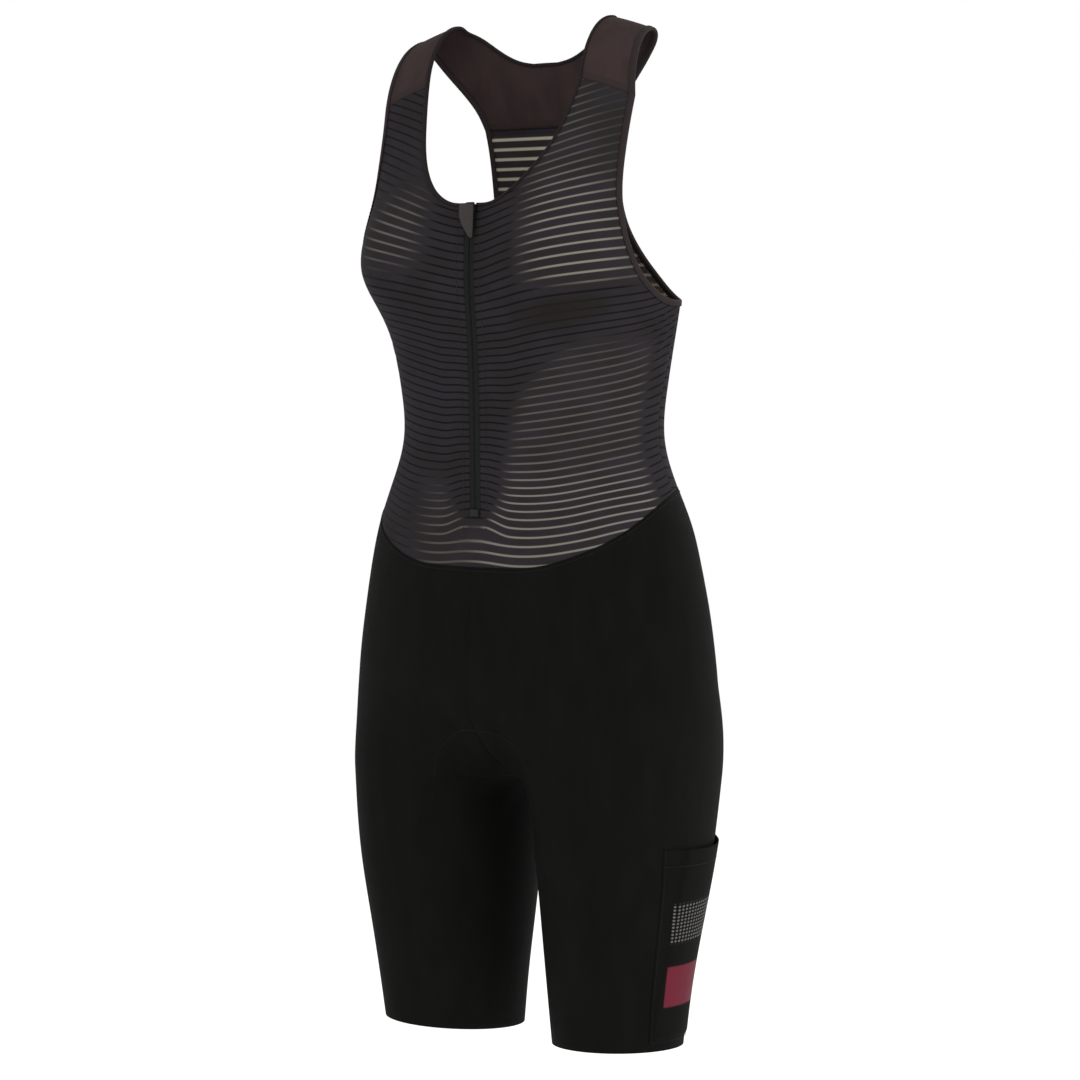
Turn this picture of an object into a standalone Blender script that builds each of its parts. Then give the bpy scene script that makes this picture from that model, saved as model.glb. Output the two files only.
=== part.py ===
"""Women's cycling bib shorts, filled out as worn: a striped bib with a front zip, a yoke with shoulder
straps, and black shorts with one pocket on the left thigh.

Metres, +Z up. The front faces -Y and the wearer's left is +X. The origin lies midway between the shoulder
straps, level with the highest line of their undersides and just behind it, where the wearer carries them.

Every cloth piece is a wall that stands on one rounded form. The form is read at (turn, height) round the
trunk, at (across, over) on the shoulders and at (share, height) round each leg, and a piece is a grid of
such points between its own cut edges, thickened outwards.
"""

import bmesh
import bpy
import numpy as np

# ---------------------------------------------------------------- driving sizes

SEAM_GAP = 0.0003  # daylight between two pieces at a seam
BIB_CLOTH = 0.0012
YOKE_CLOTH = 0.0013
SHORTS_CLOTH = 0.0014
POCKET_CLOTH = 0.0011

NECK_BOTTOM = -0.152
ZIP_FOOT = -0.405
STRAP_SEAM_DROP = 0.052  # from the top of the shoulder down to the seam on the front of the strap
YOKE_FOOT = -0.0845
HIP_LEVEL = -0.540
CROTCH = -0.622
HEM = -0.8425
HEM_SLANT = 0.0049  # the hem is cut this much higher in front outside and lower at the back inside
HEM_HIGH_AT = 0.34  # the share of the way round where it is highest

SHOULDER_PITCH = 1.58  # the shoulder falls away by this times the square of the distance across
RIDGE_Y = -0.004  # where the top of the shoulder is, front to back
STRAP_ROUND = 0.75  # how much of the strap's way forwards follows a quarter circle; the rest runs straight
SHOULDER_ROLL = 0.0065  # the radius over which the yoke turns down behind the shoulder
STRAP_INNER = 0.0765  # where the neckline crosses the top of the shoulder
STRAP_OUTER = 0.1155
STRAP_OUTER_SEAM = 0.1240  # and where it meets the front

ZIP_HALF = 0.0050  # half the width of the zip in the front
ZIP_CLOTH = 0.0011
STOP_SIZE = (0.0080, 0.0060, 0.0014)  # across, up, out
STOP_EASE = 0.0005
SLIDER_SIZE = (0.0075, 0.0090, 0.0022)
SLIDER_EASE = 0.0008
SLIDER_ABOVE_NECK = 0.0016
AXIS_BELOW_TOP = 0.0020  # from the top of the slider to the pin that the pull hangs from
AXIS_STAND_OFF = 0.0018  # from the face of the slider out to the same pin
PIN_RADIUS = 0.0006
PIN_CLEAR = 0.0004
PIN_SIDES = 8
BRIDGE_BAR = 0.0006
BRIDGE_HALF = 0.0011
PULL_WIDTH = 0.0140
PULL_LENGTH = 0.0272  # from the pin down
PULL_TOP = 0.0004  # from the pin up
PULL_THICKNESS = 0.0014
PULL_CLEAR = 0.0008
PULL_ROWS = 9
PULL_CORNER = 0.0012  # how far its corners and its left side come in
PULL_TIP = 0.0035  # its width at the foot
PULL_TAPER_FROM = 0.35
PULL_TAPER_POWER = 1.4
EAR = 0.0010
PIN_IN_EAR = 0.98  # the pin is this much thinner than the ears that hold its ends

BINDING_COVER = 0.0046  # how far the binding reaches in from the edge
BINDING_CLOTH = 0.0007
BINDING_CLEAR = 0.0007
NECK_CENTRE = np.array([0.0, -0.050, -0.020])
ARMHOLE_CENTRE = np.array([0.1250, 0.0, -0.120])

POCKET_MOUTH = -0.669
POCKET_MOUTH_DIP = -0.005
POCKET_ABOVE_HEM = 0.008
POCKET_CLEAR = 0.0006
POCKET_FULLNESS = 0.0022

# How finely the pieces are drawn, in cells of their grids.
FRONT_ROWS = (3, 13, 10)  # below the zip, beside it, and round the neck
FRONT_COLUMNS = 11
ARMHOLE_CELLS = 16  # of the front's rows, those that end on the armhole
SIDE_AT_ZIP_FOOT = -0.368  # where the front's row from the foot of the zip meets the side seam
BACK_ROWS = (9, 12)  # beside the side seam and round the armhole
BACK_COLUMNS = 21
CROWDING = 0.35  # how much closer than the mean the columns stand at a side seam
YOKE_ROWS = (7, 10, 3)  # down the front of the strap, round the back of the neck, and below it
YOKE_COLUMNS = 6
YOKE_CROWDING = 1.4  # over 1, its rows stand closer at the top of the shoulder, where the cloth bends most
SHORTS_ROWS = (6, 6, 4, 7)  # to the hip level, to the crotch, round its arch, and down to the hem
SHORTS_COLUMNS = 29
POCKET_ROWS = 6
POCKET_COLUMNS = (12, 20)

RELAXING_STEPS = 60
TRUNK_STEPS = (0.01, 0.001)  # how far each parameter steps to find which way is outwards: turn, height
SHOULDER_STEPS = (0.001, 0.01)  # across, over
SHORTS_STEPS = (0.002, 0.0005)  # share, height
SHARP_EDGE = np.radians(40)  # faces that meet at more than this are shaded as an edge

DEGREE_OF_CLOTH = 0.002  # about how much cloth there is in a degree of turn


def table(columns, *rows):
    """A short table as {column: values}; its first column is what it is read along."""
    return dict(zip(columns.split(), np.array(rows, float).T))


# Level sections of the trunk: half its width, how far front and back stand from the side line, where the
# side line is, and how square the section is (2 is an ellipse).
TRUNK = table(
    "height half_width front back side_y squareness",
    (-0.640, 0.1625, 0.0850, 0.1060, -0.010, 2.15),
    (-0.600, 0.1640, 0.0895, 0.1160, -0.010, 2.15),
    (-0.560, 0.1645, 0.0910, 0.1180, -0.010, 2.15),
    (-0.515, 0.1610, 0.0890, 0.1145, -0.010, 2.15),
    (-0.480, 0.1565, 0.0870, 0.1065, -0.009, 2.15),
    (-0.446, 0.1510, 0.0830, 0.0975, -0.009, 2.15),
    (-0.413, 0.1427, 0.0795, 0.0910, -0.009, 2.15),
    (-0.380, 0.1285, 0.0790, 0.0850, -0.009, 2.15),
    (-0.345, 0.1165, 0.0815, 0.0790, -0.007, 2.15),
    (-0.300, 0.1195, 0.0835, 0.0755, -0.006, 2.15),
    (-0.263, 0.1265, 0.0870, 0.0680, -0.004, 2.20),
    (-0.230, 0.1325, 0.0900, 0.0570, -0.002, 2.30),
    (-0.190, 0.1370, 0.0905, 0.0430, -0.001, 2.40),
    (-0.152, 0.1415, 0.0895, 0.0310, 0.000, 2.40),
    (-0.120, 0.1500, 0.0805, 0.0250, 0.000, 2.40),
    (-0.085, 0.1590, 0.0660, 0.0190, 0.000, 2.40),
    (-0.052, 0.1660, 0.0530, 0.0140, 0.000, 2.40),
    (-0.030, 0.1680, 0.0440, 0.0110, 0.000, 2.40),
)

# The front is cut fuller at the chest, as two soft rounds either side of the zip.
CHEST_FULLNESS = 0.029
CHEST_TURN = np.radians(43)
CHEST_TURN_SPREAD = np.radians(30)
CHEST_HEIGHT = -0.200
CHEST_SPREAD_ABOVE = 0.055
CHEST_SPREAD_BELOW = 0.044

# Level sections of a leg: its outer and inner sides, its front and back, how square it is, and how much of
# its half width the outer side stands forward and the inner side back.
LEG = table(
    "height outer inner front back squareness skew",
    (-0.848, 0.1370, 0.0300, -0.0625, 0.0545, 2.00, 0.10),
    (-0.800, 0.1425, 0.0265, -0.0690, 0.0600, 2.00, 0.10),
    (-0.750, 0.1500, 0.0222, -0.0755, 0.0680, 2.00, 0.10),
    (-0.700, 0.1570, 0.0193, -0.0820, 0.0765, 2.05, 0.09),
    (-0.660, 0.1595, 0.0180, -0.0870, 0.0840, 2.10, 0.07),
    (-0.620, 0.1600, 0.0170, -0.0915, 0.0920, 2.15, 0.05),
    (-0.540, 0.1635, 0.0170, -0.0950, 0.1010, 2.20, 0.03),
)
SEAM_SHARPNESS = 16  # how closely the rounding under the crotch keeps to the centre seams
CROTCH_ARCH = 0.030  # below the crotch the legs part over this height

# The seam where the shorts meet the bib, round from the centre front.
WAIST = table(
    "turn height",
    (0, -0.4460),
    (20, -0.4455),
    (40, -0.4425),
    (55, -0.4325),
    (68, -0.4175),
    (80, -0.3995),
    (92, -0.3880),
    (113, -0.3820),
    (145, -0.3760),
    (180, -0.3730),
)

# Cut edges of the bib, as turn in degrees and height. The front's inner edge runs up beside the zip and
# round the neck, the outer edges up the side seam and round the armhole.
SIDE_SEAM_TURN = 96.0
SIDE_GAP_TURN = 0.075  # degrees, half a seam gap
ARMPIT = -0.2297
NECKLINE = table(
    "turn height",
    (11.8, -0.1512),
    (19.3, -0.1450),
    (26.8, -0.1340),
    (35.0, -0.1187),
    (43.5, -0.0990),
)
ARMHOLE_FRONT = table(
    "turn height",
    (84.4, -0.2275),
    (76.9, -0.2203),
    (70.3, -0.2090),
    (65.9, -0.1940),
    (63.6, -0.1740),
    (63.3, -0.1500),
    (65.2, -0.1200),
)
ARMHOLE_BACK = table(
    "across height",
    (0.1110, -0.2235),
    (0.0980, -0.2130),
    (0.0835, -0.1970),
    (0.0728, -0.1800),
    (0.0662, -0.1620),
    (0.0640, -0.1420),
    (0.0640, -0.1150),
)

# Cut edges of the yoke behind the top of the shoulder, down from it.
BACK_NECK = table(
    "across height",
    (0.0762, -0.0012),
    (0.0740, -0.0032),
    (0.0680, -0.0060),
    (0.0600, -0.0102),
    (0.0500, -0.0170),
    (0.0380, -0.0245),
    (0.0250, -0.0300),
    (0.0120, -0.0325),
)
YOKE_ARMHOLE = table(
    "across height",
    (0.1150, -0.0150),
    (0.1130, -0.0200),
    (0.1085, -0.0265),
    (0.0985, -0.0385),
    (0.0820, -0.0570),
    (0.0722, -0.0710),
    (0.0665, -0.0845),
)


# ---------------------------------------------------------------- the form


def smooth(stops, values, at):
    """A curve through (stops, values) with no kink in slope or bend: a natural cubic spline."""
    step = np.diff(stops)
    rise = np.diff(values) / step
    count = len(stops)
    system = np.eye(count)
    right = np.zeros(count)
    for i in range(1, count - 1):
        system[i, i - 1 : i + 2] = step[i - 1], 2 * (step[i - 1] + step[i]), step[i]
        right[i] = 6 * (rise[i] - rise[i - 1])
    bend = np.linalg.solve(system, right)
    i = np.clip(np.searchsorted(stops, at, side="right") - 1, 0, count - 2)
    ahead, behind = stops[i + 1] - at, at - stops[i]
    curved = (bend[i] * ahead**3 + bend[i + 1] * behind**3) / (6 * step[i])
    start = (values[i] / step[i] - bend[i] * step[i] / 6) * ahead
    end = (values[i + 1] / step[i] - bend[i + 1] * step[i] / 6) * behind
    return curved + start + end


def read(source, column, at):
    """A column of a table, read smoothly at places along its first column."""
    along = next(iter(source.values()))
    return smooth(along, source[column], np.clip(at, along[0], along[-1]))


def chest(turn, height):
    """How far the cut stands out at the chest: a soft round each side, fuller above than below."""
    spread = np.where(height > CHEST_HEIGHT, CHEST_SPREAD_ABOVE, CHEST_SPREAD_BELOW)
    from_front = np.pi - np.abs(np.pi - np.abs(turn))
    round_it = ((from_front - CHEST_TURN) / CHEST_TURN_SPREAD) ** 2
    up_it = ((height - CHEST_HEIGHT) / spread) ** 2
    return CHEST_FULLNESS * np.exp(-round_it - up_it)


def trunk(turn, height):
    """The form at an angle round from the centre front, positive to the wearer's left, and a height.

    Each level section is a superellipse, |x / half_width|^n + |y / depth|^n = 1, read at a polar angle.
    """
    turn, height = np.broadcast_arrays(np.asarray(turn, float), np.asarray(height, float))
    half_width = read(TRUNK, "half_width", height)
    front, back = read(TRUNK, "front", height), read(TRUNK, "back", height)
    power = read(TRUNK, "squareness", height)
    depth = np.where(np.cos(turn) > 0, front, back)
    section = np.abs(np.sin(turn) / half_width) ** power + np.abs(np.cos(turn) / depth) ** power
    reach = section ** (-1 / power) + chest(turn, height)
    side_y = read(TRUNK, "side_y", height)
    return np.stack([reach * np.sin(turn), side_y - reach * np.cos(turn), height], axis=-1)


def sheet_y(across, height, facing):
    """Where the trunk's front (facing -1) or back (facing 1) stands at a distance across."""
    depth = read(TRUNK, "front" if facing < 0 else "back", height)
    power = read(TRUNK, "squareness", height)
    inside = 1 - np.abs(across / read(TRUNK, "half_width", height)) ** power
    return read(TRUNK, "side_y", height) + facing * depth * inside ** (1 / power)


def ridge(across):
    """The height of the top of the shoulder, at a distance across."""
    return SHOULDER_PITCH * (STRAP_INNER**2 - across**2)


def rolled(drop):
    """How far along the hanging yoke a drop below the top of the shoulder is, past its roll."""
    return np.sqrt((drop + SHOULDER_ROLL) ** 2 - SHOULDER_ROLL**2)


def over_of(across, height):
    """The over of a height behind the top of the shoulder."""
    return rolled(np.maximum(ridge(across) - height, 0)) / rolled(ridge(across) - YOKE_FOOT)


def shoulder(across, over):
    """The form over the shoulder: over is -1 at the front strap seam, 0 on top and 1 at the yoke's foot.

    In front the height falls as 1 - cos of a quarter turn and the depth grows mostly as its sine. Behind,
    with s the way along from the top and r the roll, the drop is sqrt(s^2 + r^2) - r and the depth
    r s / sqrt(s^2 + r^2) plus a straight lean, which is a round roll that turns into a straight hang.
    """
    across, over = np.broadcast_arrays(np.asarray(across, float), np.asarray(over, float))
    top = ridge(across)
    quarter = np.pi / 2 * np.abs(over)
    seam = top - STRAP_SEAM_DROP
    arc = STRAP_ROUND * np.sin(quarter) + (1 - STRAP_ROUND) * np.abs(over)
    forwards = (sheet_y(across, seam, -1) - RIDGE_Y) * arc
    whole = rolled(top - YOKE_FOOT)
    run = over * whole
    hypotenuse = np.hypot(run, SHOULDER_ROLL)
    lean = (sheet_y(across, YOKE_FOOT, 1) - RIDGE_Y) / whole
    lean = lean - SHOULDER_ROLL / np.hypot(whole, SHOULDER_ROLL)
    backwards = SHOULDER_ROLL * run / hypotenuse + lean * run
    y = RIDGE_Y + np.where(over < 0, forwards, backwards)
    z = top - np.where(over < 0, STRAP_SEAM_DROP * (1 - np.cos(quarter)), hypotenuse - SHOULDER_ROLL)
    return np.stack([across, y, z], axis=-1)


def rounded(angle, power):
    """A point round a superellipse of half size 1."""
    across, over = np.cos(angle), np.sin(angle)
    return np.stack([np.sign(part) * np.abs(part) ** (2 / power) for part in (across, over)])


def leg(share, height):
    """The form round the left leg, from the inner side (share 0) round the front, outside and back.

    Each level section is a superellipse whose outer side is skewed forward. Below the crotch the inner
    side parts from the centre along the quarter of an ellipse.
    """
    parted = np.clip((CROTCH - height) / CROTCH_ARCH, 0, 1)
    inner, outer = read(LEG, "inner", height), read(LEG, "outer", height)
    front, back = read(LEG, "front", height), read(LEG, "back", height)
    across, over = rounded(np.pi * (2 * share - 1), read(LEG, "squareness", height))
    half = (outer - inner) / 2
    touching = inner * (1 - np.sqrt(1 - (1 - parted) ** 2)) * np.cos(np.pi * share) ** SEAM_SHARPNESS
    x = (outer + inner) / 2 + half * across - touching
    y = (front + back) / 2 + (back - front) / 2 * over - read(LEG, "skew", height) * half * across
    return np.stack(np.broadcast_arrays(x, y, height), axis=-1)


def half_shorts(share, height):
    """The form under the left half of the shorts, from the centre front (share 0) to the back (share 1).

    Above the hip level it is the trunk and below the crotch the leg. Between them the one turns into the
    other, along a round curve at the two centre seams so that they meet level under the crotch, and
    sooner at the side.
    """
    share, height = np.broadcast_arrays(np.asarray(share, float), np.asarray(height, float))
    risen = np.clip((height - CROTCH) / (HIP_LEVEL - CROTCH), 0, 1)
    at_seam = 1 - np.sqrt(1 - (1 - risen) ** 2)
    at_side = (1 - risen) ** 2 * (1 + 2 * risen)
    near_seam = np.cos(np.pi * share) ** SEAM_SHARPNESS
    mix = (at_side + (at_seam - at_side) * near_seam)[..., None]
    return (1 - mix) * trunk(np.pi * share, height) + mix * leg(share, height)


def outward(form, first, second, steps):
    """Unit vectors square to a form, away from the wearer, at places (first, second).

    Its first parameter runs leftwards round the wearer and its second upwards, or from front to back on
    top.
    """
    across = form(first + steps[0], second) - form(first - steps[0], second)
    along = form(first, second + steps[1]) - form(first, second - steps[1])
    square = np.cross(across, along)
    return square / np.linalg.norm(square, axis=-1, keepdims=True)


def unit(vectors):
    """The vectors at length 1."""
    return vectors / np.linalg.norm(vectors, axis=-1, keepdims=True)


MIRROR = np.array([-1.0, 1.0, 1.0])


# ---------------------------------------------------------------- making solids


def solid(name, points, faces, material):
    """One closed object from points and faces, with its faces turned outwards."""
    mesh = bpy.data.meshes.new(name)
    mesh.from_pydata([tuple(p) for p in points], [], faces)
    sewn = bmesh.new()
    sewn.from_mesh(mesh)
    bmesh.ops.recalc_face_normals(sewn, faces=sewn.faces)
    sewn.to_mesh(mesh)
    sewn.free()
    mesh.shade_smooth()
    mesh.set_sharp_from_angle(angle=SHARP_EDGE)
    mesh.materials.append(material)
    made = bpy.data.objects.new(name, mesh)
    bpy.context.scene.collection.objects.link(made)
    return made


def wall(name, inner, outer, material, kept=None, sewn_to=None):
    """A cloth wall between two grids of points.

    kept says which of their cells are cloth; the rest is cut away. Up to the row sewn_to the last column is
    the first one again, which closes the wall into a tube. Each cell is split along its shorter diagonal,
    the same one on both faces of the cloth, so that it is as thick in the middle of a cell as at its
    corners.
    """
    rows, columns = inner.shape[:2]
    kept = np.ones((rows - 1, columns - 1), bool) if kept is None else kept
    number = np.arange(rows * columns).reshape(rows, columns)
    if sewn_to is not None:
        number[: sewn_to + 1, -1] = number[: sewn_to + 1, 0]
    far = rows * columns
    rising_split = np.linalg.norm(inner[1:, 1:] - inner[:-1, :-1], axis=-1)
    falling_split = np.linalg.norm(inner[1:, :-1] - inner[:-1, 1:], axis=-1)
    triangles = []
    open_sides = set()
    for i, j in zip(*np.nonzero(kept)):
        ring = [int(number[c]) for c in ((i, j), (i, j + 1), (i + 1, j + 1), (i + 1, j))]
        if falling_split[i, j] < rising_split[i, j]:
            ring = ring[1:] + ring[:1]
        for corner in (ring[:3], [ring[0], ring[2], ring[3]]):
            triangles += [corner, [n + far for n in reversed(corner)]]
        for a, b in zip(ring, ring[1:] + ring[:1]):
            if (b, a) in open_sides:
                open_sides.remove((b, a))
            else:
                open_sides.add((a, b))
    for a, b in sorted(open_sides):
        triangles += [[b, a, a + far], [b, a + far, b + far]]
    points = np.concatenate([inner.reshape(-1, 3), outer.reshape(-1, 3)])
    used, again = np.unique(np.array(triangles), return_inverse=True)
    return solid(name, points[used], again.reshape(-1, 3).tolist(), material)


def block(name, low, high, material):
    """A plain block between two corners."""
    (x0, y0, z0), (x1, y1, z1) = low, high
    corners = [(x, y, z) for x in (x0, x1) for y in (y0, y1) for z in (z0, z1)]
    faces = [(0, 1, 3, 2), (4, 6, 7, 5), (0, 4, 5, 1), (2, 3, 7, 6), (0, 2, 6, 4), (1, 5, 7, 3)]
    return solid(name, corners, faces, material)


def eased(made, width, segments=2):
    """The object with its edges rounded off."""
    step = made.modifiers.new("eased", "BEVEL")
    step.width = width
    step.segments = segments
    return made


def joined(base, other, operation="UNION"):
    """base with other joined to it or cut from it. other goes away."""
    step = base.modifiers.new(operation.lower(), "BOOLEAN")
    step.operation = operation
    step.object = other
    graph = bpy.context.evaluated_depsgraph_get()
    result = bpy.data.meshes.new_from_object(base.evaluated_get(graph))
    base.modifiers.clear()
    base.data = result
    bpy.data.objects.remove(other)
    return base


def finish(name, colour, roughness, metallic=0.0):
    """A plain surface finish."""
    made = bpy.data.materials.new(name)
    made.use_nodes = True
    shader = made.node_tree.nodes["Principled BSDF"]
    shader.inputs["Base Color"].default_value = (*colour, 1)
    shader.inputs["Roughness"].default_value = roughness
    shader.inputs["Metallic"].default_value = metallic
    return made


# ---------------------------------------------------------------- cut edges


def turn_of(across, height, facing):
    """The turn in degrees of the place on the trunk's front or back at a distance across."""
    ahead = read(TRUNK, "side_y", height) - sheet_y(across, height, facing)
    return np.degrees(np.arctan2(across, ahead))


def strap_seam(across, gap=0.0):
    """The seam on the front of the strap, as turn and height on the trunk."""
    height = ridge(across) - STRAP_SEAM_DROP - gap
    return np.stack([turn_of(across, height, -1), height], axis=-1)


def waist_height(turn_degrees):
    return read(WAIST, "height", np.abs(turn_degrees))


def along(points, count, size=(DEGREE_OF_CLOTH, 1), crowding=1):
    """count points along a smooth curve through a list of them, evenly or closer together at its start.

    size turns the two numbers of each point into metres of cloth.
    """
    run = np.concatenate([[0], np.cumsum(np.linalg.norm(np.diff(points, axis=0) * size, axis=1))])
    at = run[-1] * np.linspace(0, 1, count) ** crowding
    return np.stack([smooth(run, points[:, 0], at), smooth(run, points[:, 1], at)], axis=-1)


def rows_of(edge):
    """The two columns of a table of an edge, side by side."""
    return np.stack(list(edge.values()), axis=-1)


def rising(turn, low, high, cells):
    """Places straight up a seam, without the last one."""
    height = np.linspace(low, high, cells + 1)[:-1]
    return np.stack([np.full_like(height, turn), height], axis=-1)


def ruled(inner, outer, share):
    """Rows of places drawn straight from an inner cut edge to an outer one."""
    return inner[:, None] + share[None, :, None] * (outer - inner)[:, None]


def relaxed(chart):
    """The chart with its rim as it was and each inner place moved to the mean of its four neighbours."""
    for _ in range(RELAXING_STEPS):
        beside = chart[1:-1, :-2] + chart[1:-1, 2:]
        chart[1:-1, 1:-1] = (chart[:-2, 1:-1] + chart[2:, 1:-1] + beside) / 4
    return chart


def settled(chart, rows):
    """The chart with its lowest row moved on to the waist seam, and the rows above it moved ever less."""
    away = np.where(chart[0, :, 0] > 180, 360 - chart[0, :, 0], chart[0, :, 0])
    shift = waist_height(away) + SEAM_GAP / 2 - chart[0, :, 1]
    chart[:rows, :, 1] += np.linspace(1, 0, rows)[:, None] * shift
    return chart


def on_trunk(chart):
    """Points of the trunk and their outward directions, for a chart of (turn in degrees, height)."""
    turn, height = np.radians(chart[..., 0]), chart[..., 1]
    return trunk(turn, height), outward(trunk, turn, height, TRUNK_STEPS)


def on_shoulder(chart):
    """Points of the shoulders and their outward directions, for a chart of (across, over)."""
    across, over = chart[..., 0], chart[..., 1]
    return shoulder(across, over), outward(shoulder, across, over, SHOULDER_STEPS)


# ---------------------------------------------------------------- the bib


def front_chart():
    """The left half of the front in (turn, height): rows up from the waist, columns out from the zip."""
    below, beside, above = FRONT_ROWS
    zip_turn = turn_of(ZIP_HALF + SEAM_GAP, NECK_BOTTOM, -1)
    waist = waist_height(zip_turn) + SEAM_GAP / 2
    neck_end = strap_seam(STRAP_INNER, SEAM_GAP)
    neck = np.concatenate([[[zip_turn, NECK_BOTTOM]], rows_of(NECKLINE), [neck_end]])
    seam = [rising(zip_turn, waist, ZIP_FOOT, below), rising(zip_turn, ZIP_FOOT, NECK_BOTTOM, beside)]
    inner = np.concatenate([*seam, along(neck, above + 1)])
    strap_end = strap_seam(STRAP_OUTER_SEAM, SEAM_GAP)
    hole = np.concatenate([[[SIDE_SEAM_TURN, ARMPIT]], rows_of(ARMHOLE_FRONT), [strap_end]])
    side_waist = waist_height(SIDE_SEAM_TURN) + SEAM_GAP / 2
    outer = np.concatenate(
        [
            rising(SIDE_SEAM_TURN, side_waist, SIDE_AT_ZIP_FOOT, below),
            rising(SIDE_SEAM_TURN, SIDE_AT_ZIP_FOOT, ARMPIT, beside + above - ARMHOLE_CELLS),
            along(hole, ARMHOLE_CELLS + 1),
        ]
    )
    outer[:, 0] -= SIDE_GAP_TURN
    even = np.linspace(0, 1, FRONT_COLUMNS)
    share = even + CROWDING * np.sin(np.pi * even) / np.pi
    chart = settled(ruled(inner, outer, share), below + 3)
    chart[-1] = strap_seam(STRAP_INNER + (STRAP_OUTER_SEAM - STRAP_INNER) * share, SEAM_GAP)
    return relaxed(chart)


def build_front(material):
    """The front, one piece with a slot for the zip from the neck down. Returns its left half."""
    left, out = on_trunk(front_chart())
    zip_rows = sum(FRONT_ROWS[:2]) + 1
    left[:zip_rows, 0, 0] = ZIP_HALF + SEAM_GAP
    points = np.concatenate([left[:, ::-1] * MIRROR, left], axis=1)
    outs = np.concatenate([out[:, ::-1] * MIRROR, out], axis=1)
    kept = np.ones((points.shape[0] - 1, points.shape[1] - 1), bool)
    kept[FRONT_ROWS[0] :, FRONT_COLUMNS - 1] = False
    wall("front_bib", points, points + BIB_CLOTH * outs, material, kept)
    return left, out


def back_chart():
    """The back in (turn, height): rows up from the waist, columns from the wearer's left to the right."""
    side, armhole = BACK_ROWS
    waist = waist_height(SIDE_SEAM_TURN) + SEAM_GAP / 2
    hole_height = ARMHOLE_BACK["height"]
    hole = np.stack([turn_of(ARMHOLE_BACK["across"], hole_height, 1), hole_height], axis=-1)
    foot = YOKE_FOOT - SEAM_GAP
    yoke_end = [turn_of(YOKE_ARMHOLE["across"][-1], foot, 1), foot]
    hole = np.concatenate([[[SIDE_SEAM_TURN, ARMPIT]], hole, [yoke_end]])
    left = np.concatenate([rising(SIDE_SEAM_TURN, waist, ARMPIT, side), along(hole, armhole + 1)])
    left[:, 0] += SIDE_GAP_TURN
    right = left * (-1, 1) + (360, 0)
    even = np.linspace(0, 1, BACK_COLUMNS)
    share = even - 2 * CROWDING * np.sin(2 * np.pi * even) / (2 * np.pi)
    chart = settled(ruled(left, right, share), side)
    across = (1 - 2 * share) * YOKE_ARMHOLE["across"][-1]
    chart[-1, :, 0] = turn_of(across, foot, 1) % 360
    return relaxed(chart)


def build_back(material):
    """The back, one piece. Returns it for the bindings."""
    points, outs = on_trunk(back_chart())
    wall("back_bib", points, points + BIB_CLOTH * outs, material)
    return points, outs


def yoke_chart():
    """The left half of the yoke in (across, over): rows from the strap seam over the top to the foot."""
    strap, neck, centre = YOKE_ROWS
    over_strap = np.linspace(-1, 0, strap + 1)[:-1]
    outer_strap = STRAP_OUTER + (STRAP_OUTER - STRAP_OUTER_SEAM) * over_strap

    def behind(edge, top, count):
        """count places down a cut edge, from the top of the shoulder at the distance top across."""
        places = np.concatenate([[[top, ridge(top)]], rows_of(edge)])
        places = along(places, count, (1, 1), YOKE_CROWDING)
        return np.stack([places[:, 0], over_of(*places.T)], axis=-1)

    neck_edge = behind(BACK_NECK, STRAP_INNER, neck + 1)
    over_centre = np.linspace(neck_edge[-1, 1], 1, centre + 1)[1:]
    inner = np.concatenate(
        [
            np.stack([np.full(strap, STRAP_INNER), over_strap], axis=-1),
            neck_edge,
            np.stack([np.full(centre, neck_edge[-1, 0]), over_centre], axis=-1),
        ]
    )
    outer = np.concatenate(
        [
            np.stack([outer_strap, over_strap], axis=-1),
            behind(YOKE_ARMHOLE, STRAP_OUTER, neck + centre + 1),
        ]
    )
    return ruled(inner, outer, np.linspace(0, 1, YOKE_COLUMNS))


def build_yoke(material):
    """The yoke, one piece: two straps that meet behind, below the neck. Returns its left half."""
    chart = yoke_chart()
    centre_line = np.stack([np.zeros(len(chart)), chart[:, 0, 1]], axis=-1)[:, None]
    left, out = on_shoulder(chart)
    middle, middle_out = on_shoulder(centre_line)
    points = np.concatenate([left[:, ::-1] * MIRROR, middle, left], axis=1)
    outs = np.concatenate([out[:, ::-1] * MIRROR, middle_out, out], axis=1)
    kept = np.ones((points.shape[0] - 1, points.shape[1] - 1), bool)
    kept[: sum(YOKE_ROWS[:2]), YOKE_COLUMNS - 1 : YOKE_COLUMNS + 1] = False
    wall("yoke", points, points + YOKE_CLOTH * outs, material, kept)
    return left, out


# ---------------------------------------------------------------- bindings


def edge_normals(points, outs, column):
    """Outward directions along a grid's first or last column, as means over the flat cells beside it."""
    beside = 1 if column == 0 else -2
    rising_diagonal = points[1:, beside] - points[:-1, column]
    flat = unit(np.cross(rising_diagonal, points[1:, column] - points[:-1, beside]))
    flat *= np.sign(np.sum(flat * outs[1:, column], axis=-1, keepdims=True))
    return unit(np.concatenate([flat[:1], flat[:-1] + flat[1:], flat[-1:]]))


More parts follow.
